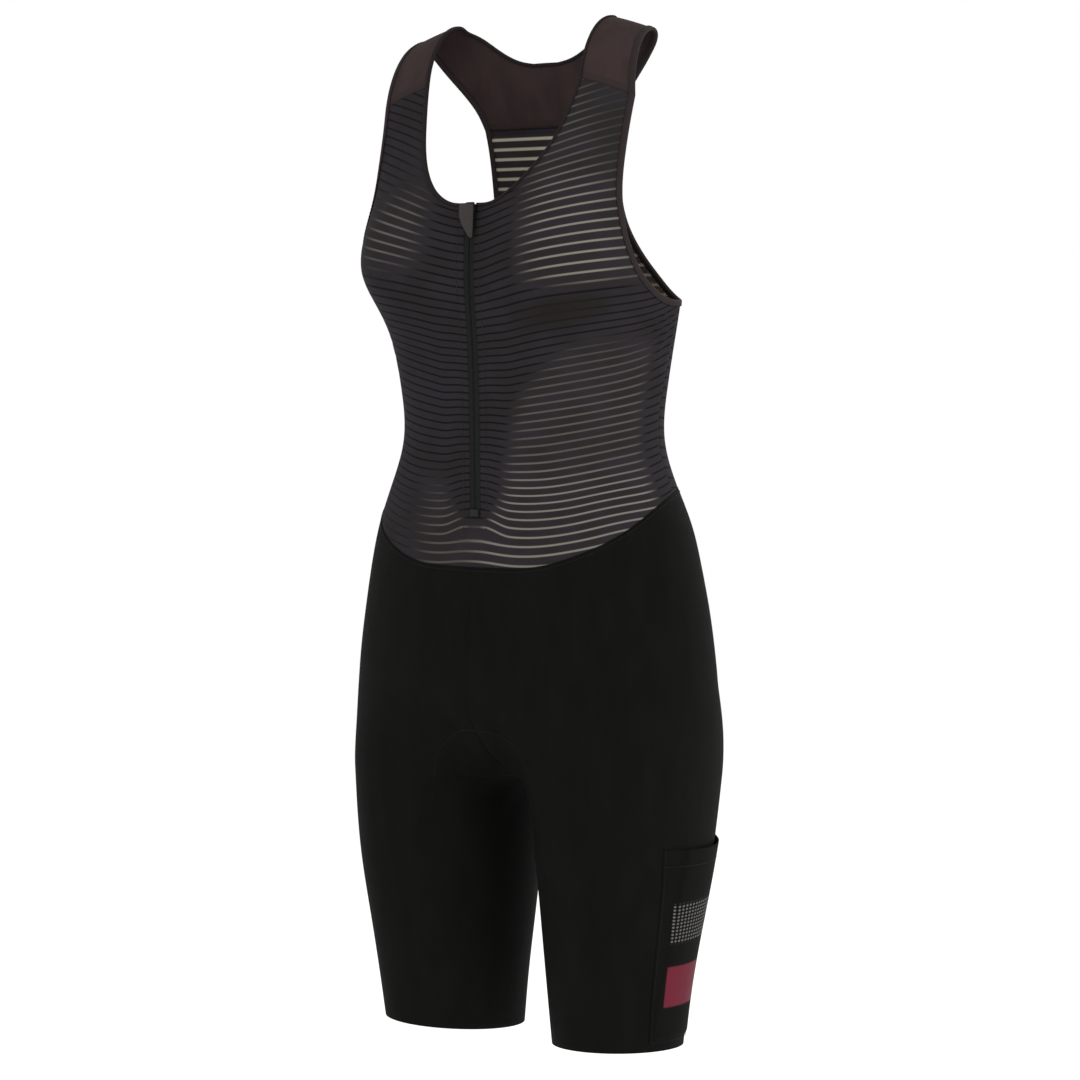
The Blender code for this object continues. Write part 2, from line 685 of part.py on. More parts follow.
def binding(name, edge, square, hole, material, closed=False):
    """A folded strip over a cut edge: a U section carried along it, open towards the cloth.

    edge holds points along the cut edge on the inner face of the cloth, square the cloth's outward
    directions there, and hole a place in the opening that the edge goes round. In each section (in, out) is
    measured from the edge into the cloth and from its inner face outwards.
    """
    ahead, behind = np.roll(edge, -1, axis=0), np.roll(edge, 1, axis=0)
    if not closed:
        ahead[-1], behind[0] = edge[-1], edge[0]
    tangent = unit(ahead - behind)
    square = unit(square - np.sum(square * tangent, axis=-1, keepdims=True) * tangent)
    inwards = np.cross(tangent, square)
    inwards *= np.sign(np.sum(inwards * (edge - hole), axis=-1, keepdims=True))
    near, skin = -BINDING_CLEAR, -BINDING_CLEAR - BINDING_CLOTH
    over = max(BIB_CLOTH, YOKE_CLOTH) + BINDING_CLEAR
    section = [
        (BINDING_COVER, over),
        (BINDING_COVER, over + BINDING_CLOTH),
        (skin, over + BINDING_CLOTH),
        (skin, skin),
        (BINDING_COVER, skin),
        (BINDING_COVER, near),
        (near, near),
        (near, over),
    ]
    rings = np.stack([edge + a * inwards + b * square for a, b in section], axis=1)
    count, corners = rings.shape[:2]
    number = np.arange(count * corners).reshape(count, corners)
    following = np.roll(number, -1, axis=0) if closed else number[1:]
    stations = number if closed else number[:-1]
    faces = []
    for here, there in zip(stations.tolist(), following.tolist()):
        faces += [[here[k], here[k - 1], there[k - 1], there[k]] for k in range(corners)]
    if not closed:
        faces += [number[0].tolist(), number[-1][::-1].tolist()]
    return solid(name, rings.reshape(-1, 3), faces, material)


def build_bindings(front, yoke, back, material):
    """One strip round the neck from zip to zip, and one round each armhole.

    front, yoke and back are each (points, outward directions) as their builders return them.
    """
    neck_rows = slice(sum(FRONT_ROWS[:2]), None)
    strap_rows = slice(1, sum(YOKE_ROWS[:2]) + 1)
    edge = np.concatenate([front[0][neck_rows, 0], yoke[0][strap_rows, 0]])
    out = np.concatenate([edge_normals(*front, 0)[neck_rows], edge_normals(*yoke, 0)[strap_rows]])
    edge, out = (np.concatenate([part, part[::-1] * MIRROR]) for part in (edge, out))
    binding("binding_neck", edge, out, NECK_CENTRE, material)

    up, over, down = slice(-ARMHOLE_CELLS - 1, None), slice(1, -1), slice(None, -BACK_ROWS[1] - 2, -1)
    edge = np.concatenate([front[0][up, -1], yoke[0][over, -1], back[0][down, 0]])
    out = [edge_normals(*front, -1)[up], edge_normals(*yoke, -1)[over], edge_normals(*back, 0)[down]]
    out = np.concatenate(out)
    for side, flip in (("left", 1), ("right", MIRROR)):
        binding(f"binding_armhole_{side}", edge * flip, out * flip, ARMHOLE_CENTRE * flip, material, True)


# ---------------------------------------------------------------- the zip


def build_zip(tape_finish, metal, tab_finish):
    """Two tapes in the slot of the front, a stop at the foot, and the slider with its pull at the top."""
    height = np.linspace(ZIP_FOOT + SEAM_GAP, NECK_BOTTOM, FRONT_ROWS[1] + 1)
    face = trunk(0.0, height)[:, 1]
    inner = np.stack([np.full_like(face, SEAM_GAP / 2), face, height], axis=-1)
    strip = np.stack([inner, inner + (ZIP_HALF - SEAM_GAP / 2, 0, 0)], axis=1)
    thickness = np.array([0, -ZIP_CLOTH, 0])
    wall("zip_tape_left", strip, strip + thickness, tape_finish)
    wall("zip_tape_right", strip * MIRROR, (strip + thickness) * MIRROR, tape_finish)

    def in_front(z):
        """Just clear of the tapes at a height."""
        return float(np.interp(z, height, face)) - ZIP_CLOTH - SEAM_GAP

    half, tall, deep = np.array(STOP_SIZE) / (2, 1, 1)
    foot = ZIP_FOOT + SEAM_GAP
    stop_back = min(in_front(foot), in_front(foot + tall))
    stop = block("zip_stop", (-half, stop_back - deep, foot), (half, stop_back, foot + tall), metal)
    eased(stop, STOP_EASE)

    half, tall, deep = np.array(SLIDER_SIZE) / (2, 1, 1)
    top = NECK_BOTTOM + SLIDER_ABOVE_NECK
    back = min(in_front(top), in_front(top - tall))
    slider = block("zip_slider", (-half, back - deep, top - tall), (half, back, top), metal)
    eased(slider, SLIDER_EASE)
    face_y = back - deep
    axis_y, axis_z = face_y - AXIS_STAND_OFF, top - AXIS_BELOW_TOP
    hole = PIN_RADIUS + PIN_CLEAR
    reach = hole + BRIDGE_BAR
    low = (-BRIDGE_HALF, axis_y - reach, axis_z - reach)
    high = (BRIDGE_HALF, face_y + deep / 2, axis_z + reach)
    slider = joined(slider, block("arch", low, high, metal))
    low, high = (-half, axis_y - hole, axis_z - hole), (half, axis_y + hole, axis_z + hole)
    joined(slider, block("window", low, high, metal), "DIFFERENCE")
    build_pull((0.0, axis_y, axis_z), reach, tab_finish)


def build_pull(axis, reach, material):
    """The pull: a leaf-shaped tab that hangs from a pin through the slider's bridge.

    Its left side is nearly straight, and its right side runs across to it below PULL_TAPER_FROM of its
    length.
    """
    share = np.linspace(0, 1, PULL_ROWS)
    down = PULL_TOP - (PULL_LENGTH + PULL_TOP) * share
    taper = np.clip((share - PULL_TAPER_FROM) / (1 - PULL_TAPER_FROM), 0, 1)
    corner = PULL_CORNER * (share == 0)
    left = PULL_WIDTH / 2 - PULL_CORNER * share**2 - corner
    right = -PULL_WIDTH / 2 + (PULL_WIDTH - PULL_TIP) * taper**PULL_TAPER_POWER + corner
    back = np.full_like(down, -reach - PULL_CLEAR)
    rows = np.stack([np.stack([side, back, down], axis=-1) for side in (right, left)], axis=1)[::-1]
    tab = wall("zip_pull", rows, rows + (0, -PULL_THICKNESS, 0), material)
    ear_in = BRIDGE_HALF + PIN_CLEAR
    for side in (-1, 1):
        near, far = sorted((side * ear_in, side * (ear_in + EAR)))
        low = (near, back[0] - PULL_THICKNESS / 2, -PIN_RADIUS)
        joined(tab, block("ear", low, (far, PIN_RADIUS, PIN_RADIUS), material))
    angle = 2 * np.pi * (np.arange(PIN_SIDES) + 0.5) / PIN_SIDES
    ring = np.stack([np.zeros(PIN_SIDES), np.cos(angle), np.sin(angle)], axis=-1)
    ring = ring * PIN_RADIUS * PIN_IN_EAR
    half_pin = np.array([ear_in + EAR / 2, 0, 0])
    ends = np.concatenate([ring - half_pin, ring + half_pin])
    caps = [list(range(PIN_SIDES)), list(range(PIN_SIDES, 2 * PIN_SIDES))]
    following = [*range(1, PIN_SIDES), 0]
    sides = [[i, n, n + PIN_SIDES, i + PIN_SIDES] for i, n in enumerate(following)]
    joined(tab, solid("pin", ends, sides + caps, material))
    tab.location = axis


# ---------------------------------------------------------------- the shorts


def shorts_chart():
    """The left half in (share, height): rows down from the waist seam, dense where the legs part."""
    to_hip, to_crotch, arch, to_hem = SHORTS_ROWS
    share = np.linspace(0, 1, SHORTS_COLUMNS)
    waist = waist_height(180 * share) - SEAM_GAP / 2
    fall = np.linspace(0, 1, to_hip + 1)[:-1, None]
    quarter = np.linspace(0, np.pi / 2, to_crotch + 1)[:-1]
    rise = CROTCH + (HIP_LEVEL - CROTCH) * (1 - np.sin(quarter))
    quarter = np.linspace(0, np.pi / 2, arch + 1)[:-1]
    parting = CROTCH - CROTCH_ARCH * (1 - np.cos(quarter))
    level = np.concatenate([rise, parting])[:, None] + np.zeros_like(share)
    hem = HEM + HEM_SLANT * np.cos(2 * np.pi * (share - HEM_HIGH_AT))
    to_go = np.linspace(0, 1, to_hem + 1)[:, None]
    arch_foot = CROTCH - CROTCH_ARCH
    lower = arch_foot + (hem - arch_foot) * to_go
    height = np.concatenate([waist + fall * (HIP_LEVEL - waist), level, lower])
    return np.stack([np.broadcast_to(share, height.shape), height], axis=-1)


def on_shorts(chart):
    """Points under the shorts and their outward directions, for a chart of (share, height)."""
    share, height = chart[..., 0], chart[..., 1]
    return half_shorts(share, height), outward(half_shorts, share, height, SHORTS_STEPS)


def build_shorts(material, pocket_finish):
    """Each half is one piece: half the hips and one leg, sewn down the inside of the leg."""
    chart = shorts_chart()[::-1]
    inseam_end = SHORTS_ROWS[2] + SHORTS_ROWS[3]
    points, outs = on_shorts(chart)
    points[inseam_end:, [0, -1], 0] = SEAM_GAP / 2
    outs[inseam_end:, [0, -1], 0] = 0
    outs = unit(outs)
    outer = points + SHORTS_CLOTH * outs
    outer[..., 0] = np.maximum(outer[..., 0], SEAM_GAP / 2)
    wall("shorts_left", points, outer, material, sewn_to=inseam_end)
    wall("shorts_right", points * MIRROR, outer * MIRROR, material, sewn_to=inseam_end)

    rows = slice(0, POCKET_ROWS + 1)
    columns = slice(POCKET_COLUMNS[0], POCKET_COLUMNS[1] + 1)
    patch = chart[rows, columns].copy()
    patch[0, :, 1] += POCKET_ABOVE_HEM
    patch[-1, :, 1] = POCKET_MOUTH + POCKET_MOUTH_DIP * np.sin(np.linspace(0, np.pi, patch.shape[1]))
    base, out = on_shorts(patch)
    up = np.clip((patch[..., 1] - patch[0, 0, 1]) / (POCKET_MOUTH - patch[0, 0, 1]), 0, 1)
    span = np.linspace(0, np.pi, patch.shape[1])
    lift = SHORTS_CLOTH + POCKET_CLEAR + POCKET_FULLNESS * np.sin(span) * up**2
    inner = base + lift[..., None] * out
    wall("pocket_left", inner, inner + POCKET_CLOTH * out, pocket_finish)


def main():
    """Build every piece of the garment in its finish."""
    for thing in list(bpy.data.objects):
        bpy.data.objects.remove(thing)
    mesh = finish("striped mesh", (0.036, 0.031, 0.034), 0.75)
    front = build_front(mesh)
    back = build_back(mesh)
    yoke_cloth = finish("yoke knit", (0.045, 0.029, 0.028), 0.7)
    yoke = build_yoke(yoke_cloth)
    build_bindings(front, yoke, back, finish("folded elastic", (0.050, 0.036, 0.035), 0.65))
    build_zip(
        finish("zip tape", (0.017, 0.018, 0.017), 0.7),
        finish("slider enamel", (0.03, 0.03, 0.03), 0.35, 0.8),
        finish("pull rubber", (0.055, 0.036, 0.035), 0.5),
    )
    shorts = finish("shorts knit", (0.010, 0.010, 0.010), 0.6)
    build_shorts(shorts, finish("pocket knit", (0.011, 0.010, 0.011), 0.6))


main()
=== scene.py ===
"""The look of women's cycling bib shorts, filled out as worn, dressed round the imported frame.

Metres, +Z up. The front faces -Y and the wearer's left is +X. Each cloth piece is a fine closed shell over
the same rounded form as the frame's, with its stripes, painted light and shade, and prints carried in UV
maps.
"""

import logging
import math
from collections.abc import Sequence
from dataclasses import dataclass
from enum import Enum

import bpy
import numpy as np
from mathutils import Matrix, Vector


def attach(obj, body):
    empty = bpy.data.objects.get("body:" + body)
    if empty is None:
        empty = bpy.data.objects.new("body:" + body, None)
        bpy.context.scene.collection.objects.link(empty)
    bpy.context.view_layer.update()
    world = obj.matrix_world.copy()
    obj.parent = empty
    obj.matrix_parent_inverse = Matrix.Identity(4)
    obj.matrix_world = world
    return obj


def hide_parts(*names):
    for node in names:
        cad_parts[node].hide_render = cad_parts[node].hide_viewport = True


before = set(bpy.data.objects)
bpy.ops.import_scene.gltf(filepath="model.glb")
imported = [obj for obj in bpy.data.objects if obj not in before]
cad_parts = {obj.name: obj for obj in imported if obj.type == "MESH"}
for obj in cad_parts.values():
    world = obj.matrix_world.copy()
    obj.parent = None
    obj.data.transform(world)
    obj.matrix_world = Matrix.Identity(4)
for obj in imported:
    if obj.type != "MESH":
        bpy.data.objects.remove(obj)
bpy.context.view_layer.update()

Array = np.ndarray
Table = dict[str, Array]
Colour = tuple[float, float, float]
log = logging.getLogger("bib_shorts")

MIRROR = np.array([-1.0, 1.0, 1.0])
SEAM_GAP = 0.00002  # daylight between two cloths at a seam
BIB_CLOTH = 0.0012
YOKE_CLOTH = 0.0013
SHORTS_CLOTH = 0.0014
POCKET_CLOTH = 0.0011


def table(columns: str, *rows: Sequence[float]) -> Table:
    """A short table by the names of its columns; its first column is what it is read along."""
    return dict(zip(columns.split(), np.array(rows, float).T))


def smooth(stops: Array, values: Array, at: Array) -> Array:
    """A natural cubic spline, the curve with no kink in slope or bend.

    Args:
        stops: where the values are given, rising.
        values: one value, or one array of values, for each stop.
        at: where the curve is read.

    Returns:
        The values there, with the shape of at and then that of one value.
    """
    stops, values, at = (np.asarray(given, float) for given in (stops, values, at))
    step = np.diff(stops)
    flat = values.reshape(len(stops), -1)
    rise = np.diff(flat, axis=0) / step[:, None]
    inside = np.arange(1, len(stops) - 1)
    system = np.eye(len(stops))
    system[inside, inside - 1], system[inside, inside + 1] = step[:-1], step[1:]
    system[inside, inside] = 2 * (step[:-1] + step[1:])
    right = np.zeros_like(flat)
    right[1:-1] = 6 * np.diff(rise, axis=0)
    bend = np.linalg.solve(system, right)
    i = np.clip(np.searchsorted(stops, at.ravel(), side="right") - 1, 0, len(stops) - 2)
    parts = (stops[i + 1] - at.ravel(), at.ravel() - stops[i], step[i])
    ahead, behind, width = (part[:, None] for part in parts)
    curved = (bend[i] * ahead**3 + bend[i + 1] * behind**3) / (6 * width)
    start = (flat[i] / width - bend[i] * width / 6) * ahead
    end = (flat[i + 1] / width - bend[i + 1] * width / 6) * behind
    return (curved + start + end).reshape(at.shape + values.shape[1:])


def read(source: Table, column: str, at: Array) -> Array:
    """A column of a table, read smoothly at places along its first column."""
    along = next(iter(source.values()))
    return smooth(along, source[column], np.clip(at, along[0], along[-1]))


def step_up(low: float, high: float, at: Array) -> Array:
    """0 below low and 1 above high, along 3 s^2 - 2 s^3 between them; low may be the greater."""
    share = np.clip((np.asarray(at, float) - low) / (high - low), 0, 1)
    return share * share * (3 - 2 * share)


def unit(vectors: Array) -> Array:
    """The vectors at length 1."""
    return vectors / np.maximum(np.linalg.norm(vectors, axis=-1, keepdims=True), 1e-12)


def refined(chart: Array, times: int, corners: Sequence[int] = ()) -> Array:
    """A grid of places drawn times as finely, along smooth curves through its rows and columns.

    Args:
        chart: the grid, rows by columns by the numbers of a place.
        times: how many fine cells replace one.
        corners: rows at which the columns may turn sharply.

    Returns:
        The fine grid.
    """
    stops = [0, *corners, len(chart) - 1]
    spans = []
    for low, high in zip(stops, stops[1:]):
        fine = np.linspace(0, high - low, (high - low) * times + 1)
        spans.append(smooth(np.arange(high - low + 1), chart[low : high + 1], fine)[(low > 0) :])
    rows = np.moveaxis(np.concatenate(spans), 1, 0)
    fine = np.linspace(0, len(rows) - 1, (len(rows) - 1) * times + 1)
    return np.moveaxis(smooth(np.arange(len(rows)), rows, fine), 0, 1)


# ---------------------------------------------------------------- the form


@dataclass(frozen=True)
class TrunkForm:
    """The rounded form that the cloth stands on, round the trunk and over the shoulders.

    Each level section is a superellipse, |x / half_width|^n + |y / depth|^n = 1, read at a polar angle,
    with two soft rounds at the chest.
    """

    ridge_y: float = -0.004
    strap_inner: float = 0.0765
    strap_outer: float = 0.1155
    strap_outer_seam: float = 0.1240
    strap_seam_drop: float = 0.052
    strap_round: float = 0.75
    pitch: float = 1.58
    roll: float = 0.0065
    yoke_foot: float = -0.0845
    fullness: float = 0.029
    full_turn: float = math.radians(43)
    full_spread: float = math.radians(30)
    full_height: float = -0.200
    spread_above: float = 0.055
    spread_below: float = 0.044

    def trunk(self, turn: Array, height: Array) -> Array:
        """Points at angles round from the centre front, in radians to the wearer's left, and heights."""
        turn, height = np.broadcast_arrays(np.asarray(turn, float), np.asarray(height, float))
        power = read(TRUNK, "squareness", height)
        depth = np.where(np.cos(turn) > 0, read(TRUNK, "front", height), read(TRUNK, "back", height))
        section = np.abs(np.sin(turn) / read(TRUNK, "half_width", height)) ** power
        reach = (section + np.abs(np.cos(turn) / depth) ** power) ** (-1 / power)
        from_front = np.pi - np.abs(np.pi - np.abs(turn))
        spread = np.where(height > self.full_height, self.spread_above, self.spread_below)
        off = ((from_front - self.full_turn) / self.full_spread) ** 2
        off = off + ((height - self.full_height) / spread) ** 2
        reach = reach + self.fullness * np.exp(-off)
        side_y = read(TRUNK, "side_y", height)
        return np.stack([reach * np.sin(turn), side_y - reach * np.cos(turn), height], axis=-1)

    def sheet_y(self, across: Array, height: Array, facing: int) -> Array:
        """Where the trunk's front (facing -1) or back (facing 1) stands at a distance across."""
        depth = read(TRUNK, "front" if facing < 0 else "back", height)
        power = read(TRUNK, "squareness", height)
        inside = 1 - np.abs(across / read(TRUNK, "half_width", height)) ** power
        return read(TRUNK, "side_y", height) + facing * depth * inside ** (1 / power)

    def turn_of(self, across: Array, height: Array, facing: int) -> Array:
        """The turn in degrees of the place on the trunk's front or back at a distance across."""
        ahead = read(TRUNK, "side_y", height) - self.sheet_y(across, height, facing)
        return np.degrees(np.arctan2(across, ahead))

    def ridge(self, across: Array) -> Array:
        """The height of the top of the shoulder, which falls with the square of the distance across."""
        return self.pitch * (self.strap_inner**2 - across**2)

    def strap_seam(self, across: Array) -> Array:
        """The seam on the front of the strap, as turn and height on the trunk."""
        height = self.ridge(across) - self.strap_seam_drop - SEAM_GAP
        return np.stack([self.turn_of(across, height, -1), height], axis=-1)

    def rolled(self, drop: Array) -> Array:
        """How far along the hanging yoke a drop below the top of the shoulder is, past its roll."""
        return np.sqrt((drop + self.roll) ** 2 - self.roll**2)

    def over_of(self, across: Array, height: Array) -> Array:
        """The over of a height behind the top of the shoulder."""
        drop = np.maximum(self.ridge(across) - height, 0)
        return self.rolled(drop) / self.rolled(self.ridge(across) - self.yoke_foot)

    def shoulder(self, across: Array, over: Array) -> Array:
        """Points over the shoulder: over is -1 at the front strap seam, 0 on top and 1 at the yoke's foot.

        In front the height falls as 1 - cos of a quarter turn. Behind, with s the way along from the top
        and r the roll, the drop is sqrt(s^2 + r^2) - r and the depth r s / sqrt(s^2 + r^2) plus a lean.
        """
        across, over = np.broadcast_arrays(np.asarray(across, float), np.asarray(over, float))
        top = self.ridge(across)
        quarter = np.pi / 2 * np.abs(over)
        arc = self.strap_round * np.sin(quarter) + (1 - self.strap_round) * np.abs(over)
        forwards = (self.sheet_y(across, top - self.strap_seam_drop, -1) - self.ridge_y) * arc
        whole = self.rolled(top - self.yoke_foot)
        run = over * whole
        far = np.hypot(run, self.roll)
        lean = (self.sheet_y(across, self.yoke_foot, 1) - self.ridge_y) / whole
        lean = lean - self.roll / np.hypot(whole, self.roll)
        y = self.ridge_y + np.where(over < 0, forwards, self.roll * run / far + lean * run)
        z = top - np.where(over < 0, self.strap_seam_drop * (1 - np.cos(quarter)), far - self.roll)
        return np.stack([across, y, z], axis=-1)


@dataclass(frozen=True)
class LegForm:
    """The form under the left half of the shorts.

    Above the hip level it is the trunk and below the crotch the leg. Between them the one turns into the
    other, along a round curve at the two centre seams so that they meet level under the crotch.
    """

    trunk: TrunkForm
    hip_level: float = -0.540
    crotch: float = -0.622
    arch: float = 0.030
    sharpness: float = 16

    def leg(self, share: Array, height: Array) -> Array:
        """Points round the leg, from the inner side (share 0) by the front, outside and back (share 1).

        Each level section is a superellipse whose outer side is skewed forward. Below the crotch the inner
        side parts from the centre along the quarter of an ellipse.
        """
        parted = np.clip((self.crotch - height) / self.arch, 0, 1)
        inner, outer, front, back, power, skew = (
            read(LEG, name, height) for name in ("inner", "outer", "front", "back", "squareness", "skew")
        )
        angle = np.pi * (2 * share - 1)
        circle = np.cos(angle), np.sin(angle)
        across, over = (np.sign(part) * np.abs(part) ** (2 / power) for part in circle)
        half = (outer - inner) / 2
        touching = inner * (1 - np.sqrt(1 - (1 - parted) ** 2)) * np.cos(np.pi * share) ** self.sharpness
        x = (outer + inner) / 2 + half * across - touching
        y = (front + back) / 2 + (back - front) / 2 * over - skew * half * across
        return np.stack(np.broadcast_arrays(x, y, height), axis=-1)

    def half(self, share: Array, height: Array) -> Array:
        """Points from the centre front (share 0) round the left to the centre back (share 1)."""
        share, height = np.broadcast_arrays(np.asarray(share, float), np.asarray(height, float))
        risen = np.clip((height - self.crotch) / (self.hip_level - self.crotch), 0, 1)
        at_seam = 1 - np.sqrt(1 - (1 - risen) ** 2)
        at_side = (1 - risen) ** 2 * (1 + 2 * risen)
        mix = (at_side + (at_seam - at_side) * np.cos(np.pi * share) ** self.sharpness)[..., None]
        return (1 - mix) * self.trunk.trunk(np.pi * share, height) + mix * self.leg(share, height)


def outward(form, first: Array, second: Array, steps: tuple[float, float]) -> Array:
    """Unit vectors square to a form at places (first, second), away from the wearer.

    Args:
        form: a function of the two parameters, the first running leftwards and the second upwards or back.
        first: the first parameter.
        second: the second parameter.
        steps: how far to either side the slopes are measured.

    Returns:
        One unit vector for each place: the cross product of the two slopes.
    """
    across = form(first + steps[0], second) - form(first - steps[0], second)
    along = form(first, second + steps[1]) - form(first, second - steps[1])
    return unit(np.cross(across, along))


# ---------------------------------------------------------------- finishes


def linear(red: float, green: float, blue: float) -> Colour:
    """A colour given as screen values from 0 to 255, as the linear values that shaders use."""
    shares = (red / 255, green / 255, blue / 255)
    return tuple(c / 12.92 if c <= 0.04045 else ((c + 0.055) / 1.055) ** 2.4 for c in shares)


class Value:
    """A number that varies over a surface: a shader socket that arithmetic works on."""

    def __init__(self, graph: "Graph", socket: bpy.types.NodeSocket) -> None:
        """Wraps a socket of a graph."""
        self.graph, self.socket = graph, socket

    def _math(self, operation: str, *terms: "Value | float") -> "Value":
        """One Math node on some terms."""
        node = self.graph.add("ShaderNodeMath", {"operation": operation}, dict(enumerate(terms)))
        return Value(self.graph, node.outputs[0])

    def __add__(self, other: "Value | float") -> "Value":
        """The sum."""
        return self._math("ADD", self, other)

    def __mul__(self, other: "Value | float") -> "Value":
        """The product."""
        return self._math("MULTIPLY", self, other)

    __radd__, __rmul__ = __add__, __mul__

    def __sub__(self, other: "Value | float") -> "Value":
        """The difference."""
        return self._math("SUBTRACT", self, other)

    def __rsub__(self, other: float) -> "Value":
        """A number less this value."""
        return self._math("SUBTRACT", other, self)

    def __truediv__(self, other: "Value | float") -> "Value":
        """The quotient."""
        return self._math("DIVIDE", self, other)

    def __abs__(self) -> "Value":
        """The size without its sign."""
        return self._math("ABSOLUTE", self)

    def fraction(self) -> "Value":
        """What is left above the whole number below it."""
        return self._math("FRACT", self)

    def wave(self) -> "Value":
        """The sine of 2 pi times this value, from 0 to 1."""
        return self._math("SINE", self * (2 * math.pi)) * 0.5 + 0.5

    def most(self, other: "Value | float") -> "Value":
        """The greater of two."""
        return self._math("MAXIMUM", self, other)

    def between(self, low: float, high: float) -> "Value":
        """0 at low and 1 at high, smooth between them."""
        sockets = {"Value": self, "From Min": low, "From Max": high}
        node = self.graph.add("ShaderNodeMapRange", {"interpolation_type": "SMOOTHSTEP"}, sockets)
        return Value(self.graph, node.outputs["Result"])


class Graph:
    """The shader nodes of one finish, round one Principled shader."""

    def __init__(self, name: str, **settings: float) -> None:
        """Starts a material; settings are uniform numbers for the shader's own sockets, _ for a space."""
        self.material = bpy.data.materials.new(name)
        self.material.use_nodes = True
        self.tree = self.material.node_tree
        self.shader = self.tree.nodes["Principled BSDF"]
        for socket, number in settings.items():
            self.shader.inputs[socket.replace("_", " ")].default_value = number

    def feed(self, entry: bpy.types.NodeSocket, given: object) -> None:
        """Links a value or a socket to an input, or sets the input to a number or a colour."""
        given = given.socket if isinstance(given, Value) else given
        if isinstance(given, bpy.types.NodeSocket):
            self.tree.links.new(given, entry)
        else:
            entry.default_value = given

    def add(self, kind: str, settings: dict | None = None, sockets: dict | None = None) -> bpy.types.Node:
        """A node of a type, with its settings made first and then its sockets linked or set.

        Args:
            kind: the node's type.
            settings: its own properties.
            sockets: a value, number, colour or socket for each input by name or place.

        Returns:
            The node.
        """
        node = self.tree.nodes.new(kind)
        for name, setting in (settings or {}).items():
            setattr(node, name, setting)
        for name, given in (sockets or {}).items():
            self.feed(node.inputs[name], given)
        return node

    def placed(self, layer: str) -> tuple[Value, Value]:
        """The two numbers of a UV map."""
        source = self.add("ShaderNodeUVMap", {"uv_map": layer})
        parts = self.add("ShaderNodeSeparateXYZ", None, {0: source.outputs[0]})
        return Value(self, parts.outputs[0]), Value(self, parts.outputs[1])

    def noise(self, scale: float, detail: float = 2.0, stretch: Colour = (1, 1, 1)) -> Value:
        """Cloudy noise on the object's own coordinates, from 0 to 1, stretched along an axis."""
        spot = {0: self.add("ShaderNodeTexCoord").outputs["Object"], 1: stretch}
        spot = self.add("ShaderNodeVectorMath", {"operation": "MULTIPLY"}, spot).outputs[0]
        made = self.add("ShaderNodeTexNoise", None, {"Vector": spot, "Scale": scale, "Detail": detail})
        return Value(self, made.outputs["Fac"])

    def mix(self, share: Value | float, first: object, second: object) -> bpy.types.NodeSocket:
        """A colour between two, each a colour or a socket."""
        ends = [(*end, 1) if isinstance(end, tuple) else end for end in (first, second)]
        node = self.add("ShaderNodeMix", {"data_type": "RGBA"}, {0: share, 6: ends[0], 7: ends[1]})
        return node.outputs[2]

    def finish(self, colour: object, roughness: Value, height: Value, depth: float) -> bpy.types.Material:
        """Joins the colour, the roughness and a relief of a given depth in metres to the shader."""
        bump = self.add("ShaderNodeBump", None, {"Strength": 1.0, "Distance": depth, "Height": height})
        for name, given in (("Base Color", colour), ("Roughness", roughness), ("Normal", bump.outputs[0])):
            self.feed(self.shader.inputs[name], given)
        return self.material


@dataclass(frozen=True)
class StripedMesh:
    """Warp-knit mesh: opaque bands parted by narrow sheer lines, dark or pale with painted light and shade.

    The look map holds the stripe number and how pale the sheer lines are in painted light: below 0 they are
    lost in painted shade, and from 1 to 2 painted light from behind brightens the bands. The cloth map
    holds metres.
    """

    band: Colour = linear(41, 38, 42)
    band_warm: Colour = linear(38, 35, 36)
    dark_line: Colour = linear(15, 14, 18)
    painted_pale_line: Colour = linear(122, 117, 109)
    shade: Colour = linear(31, 28, 26)
    # painted light from behind, on the bands and on the lines
    painted_backlight: Colour = linear(112, 102, 92)
    painted_backlight_line: Colour = linear(180, 172, 156)
    line_share: float = 0.12  # half of a sheer line, as a share of a stripe
    loop: float = 0.0009
    mottle: float = 38
    roughness: float = 0.82
    depth: float = 0.00022

    def material(self) -> bpy.types.Material:
        """The finish as a material."""
        graph = Graph("striped mesh", Specular_IOR_Level=0.03)
        stripe, painted_light = graph.placed("look")
        across, up = graph.placed("cloth")
        # the look map's second number is painted light and shade: pale lines from 0 to 1, light from behind
        # from 1 to 2
        through = painted_light.between(1.0, 2.0)
        away = abs((stripe + 0.5).fraction() - 0.5) / (1 + 0.35 * painted_light.between(0.95, 1.05))
        line = 1 - away.between(self.line_share * 0.45, self.line_share * 1.35)
        loops = (across / self.loop).wave() * (up / (self.loop * 1.3)).wave()
        mottle = graph.noise(self.mottle, 3)
        band = graph.mix(mottle.between(0.35, 0.65), self.band, self.band_warm)
        band = graph.mix(through, band, self.painted_backlight)
        pale = painted_light * (0.86 + 0.28 * mottle)
        seen = graph.mix(pale.between(0.0, 1.0), self.dark_line, self.painted_pale_line)
        seen = graph.mix(painted_light.between(0.95, 1.15), seen, self.painted_backlight_line)
        colour = graph.mix(line * (1 - 0.25 * loops), band, seen)
        # painted shade where the look map's second number is below 0
        colour = graph.mix((0 - painted_light).between(0.0, 1.0), colour, self.shade)
        height = (1 - line) * 0.8 + loops * 0.25
        return graph.finish(colour, self.roughness - 0.1 * loops, height, self.depth)


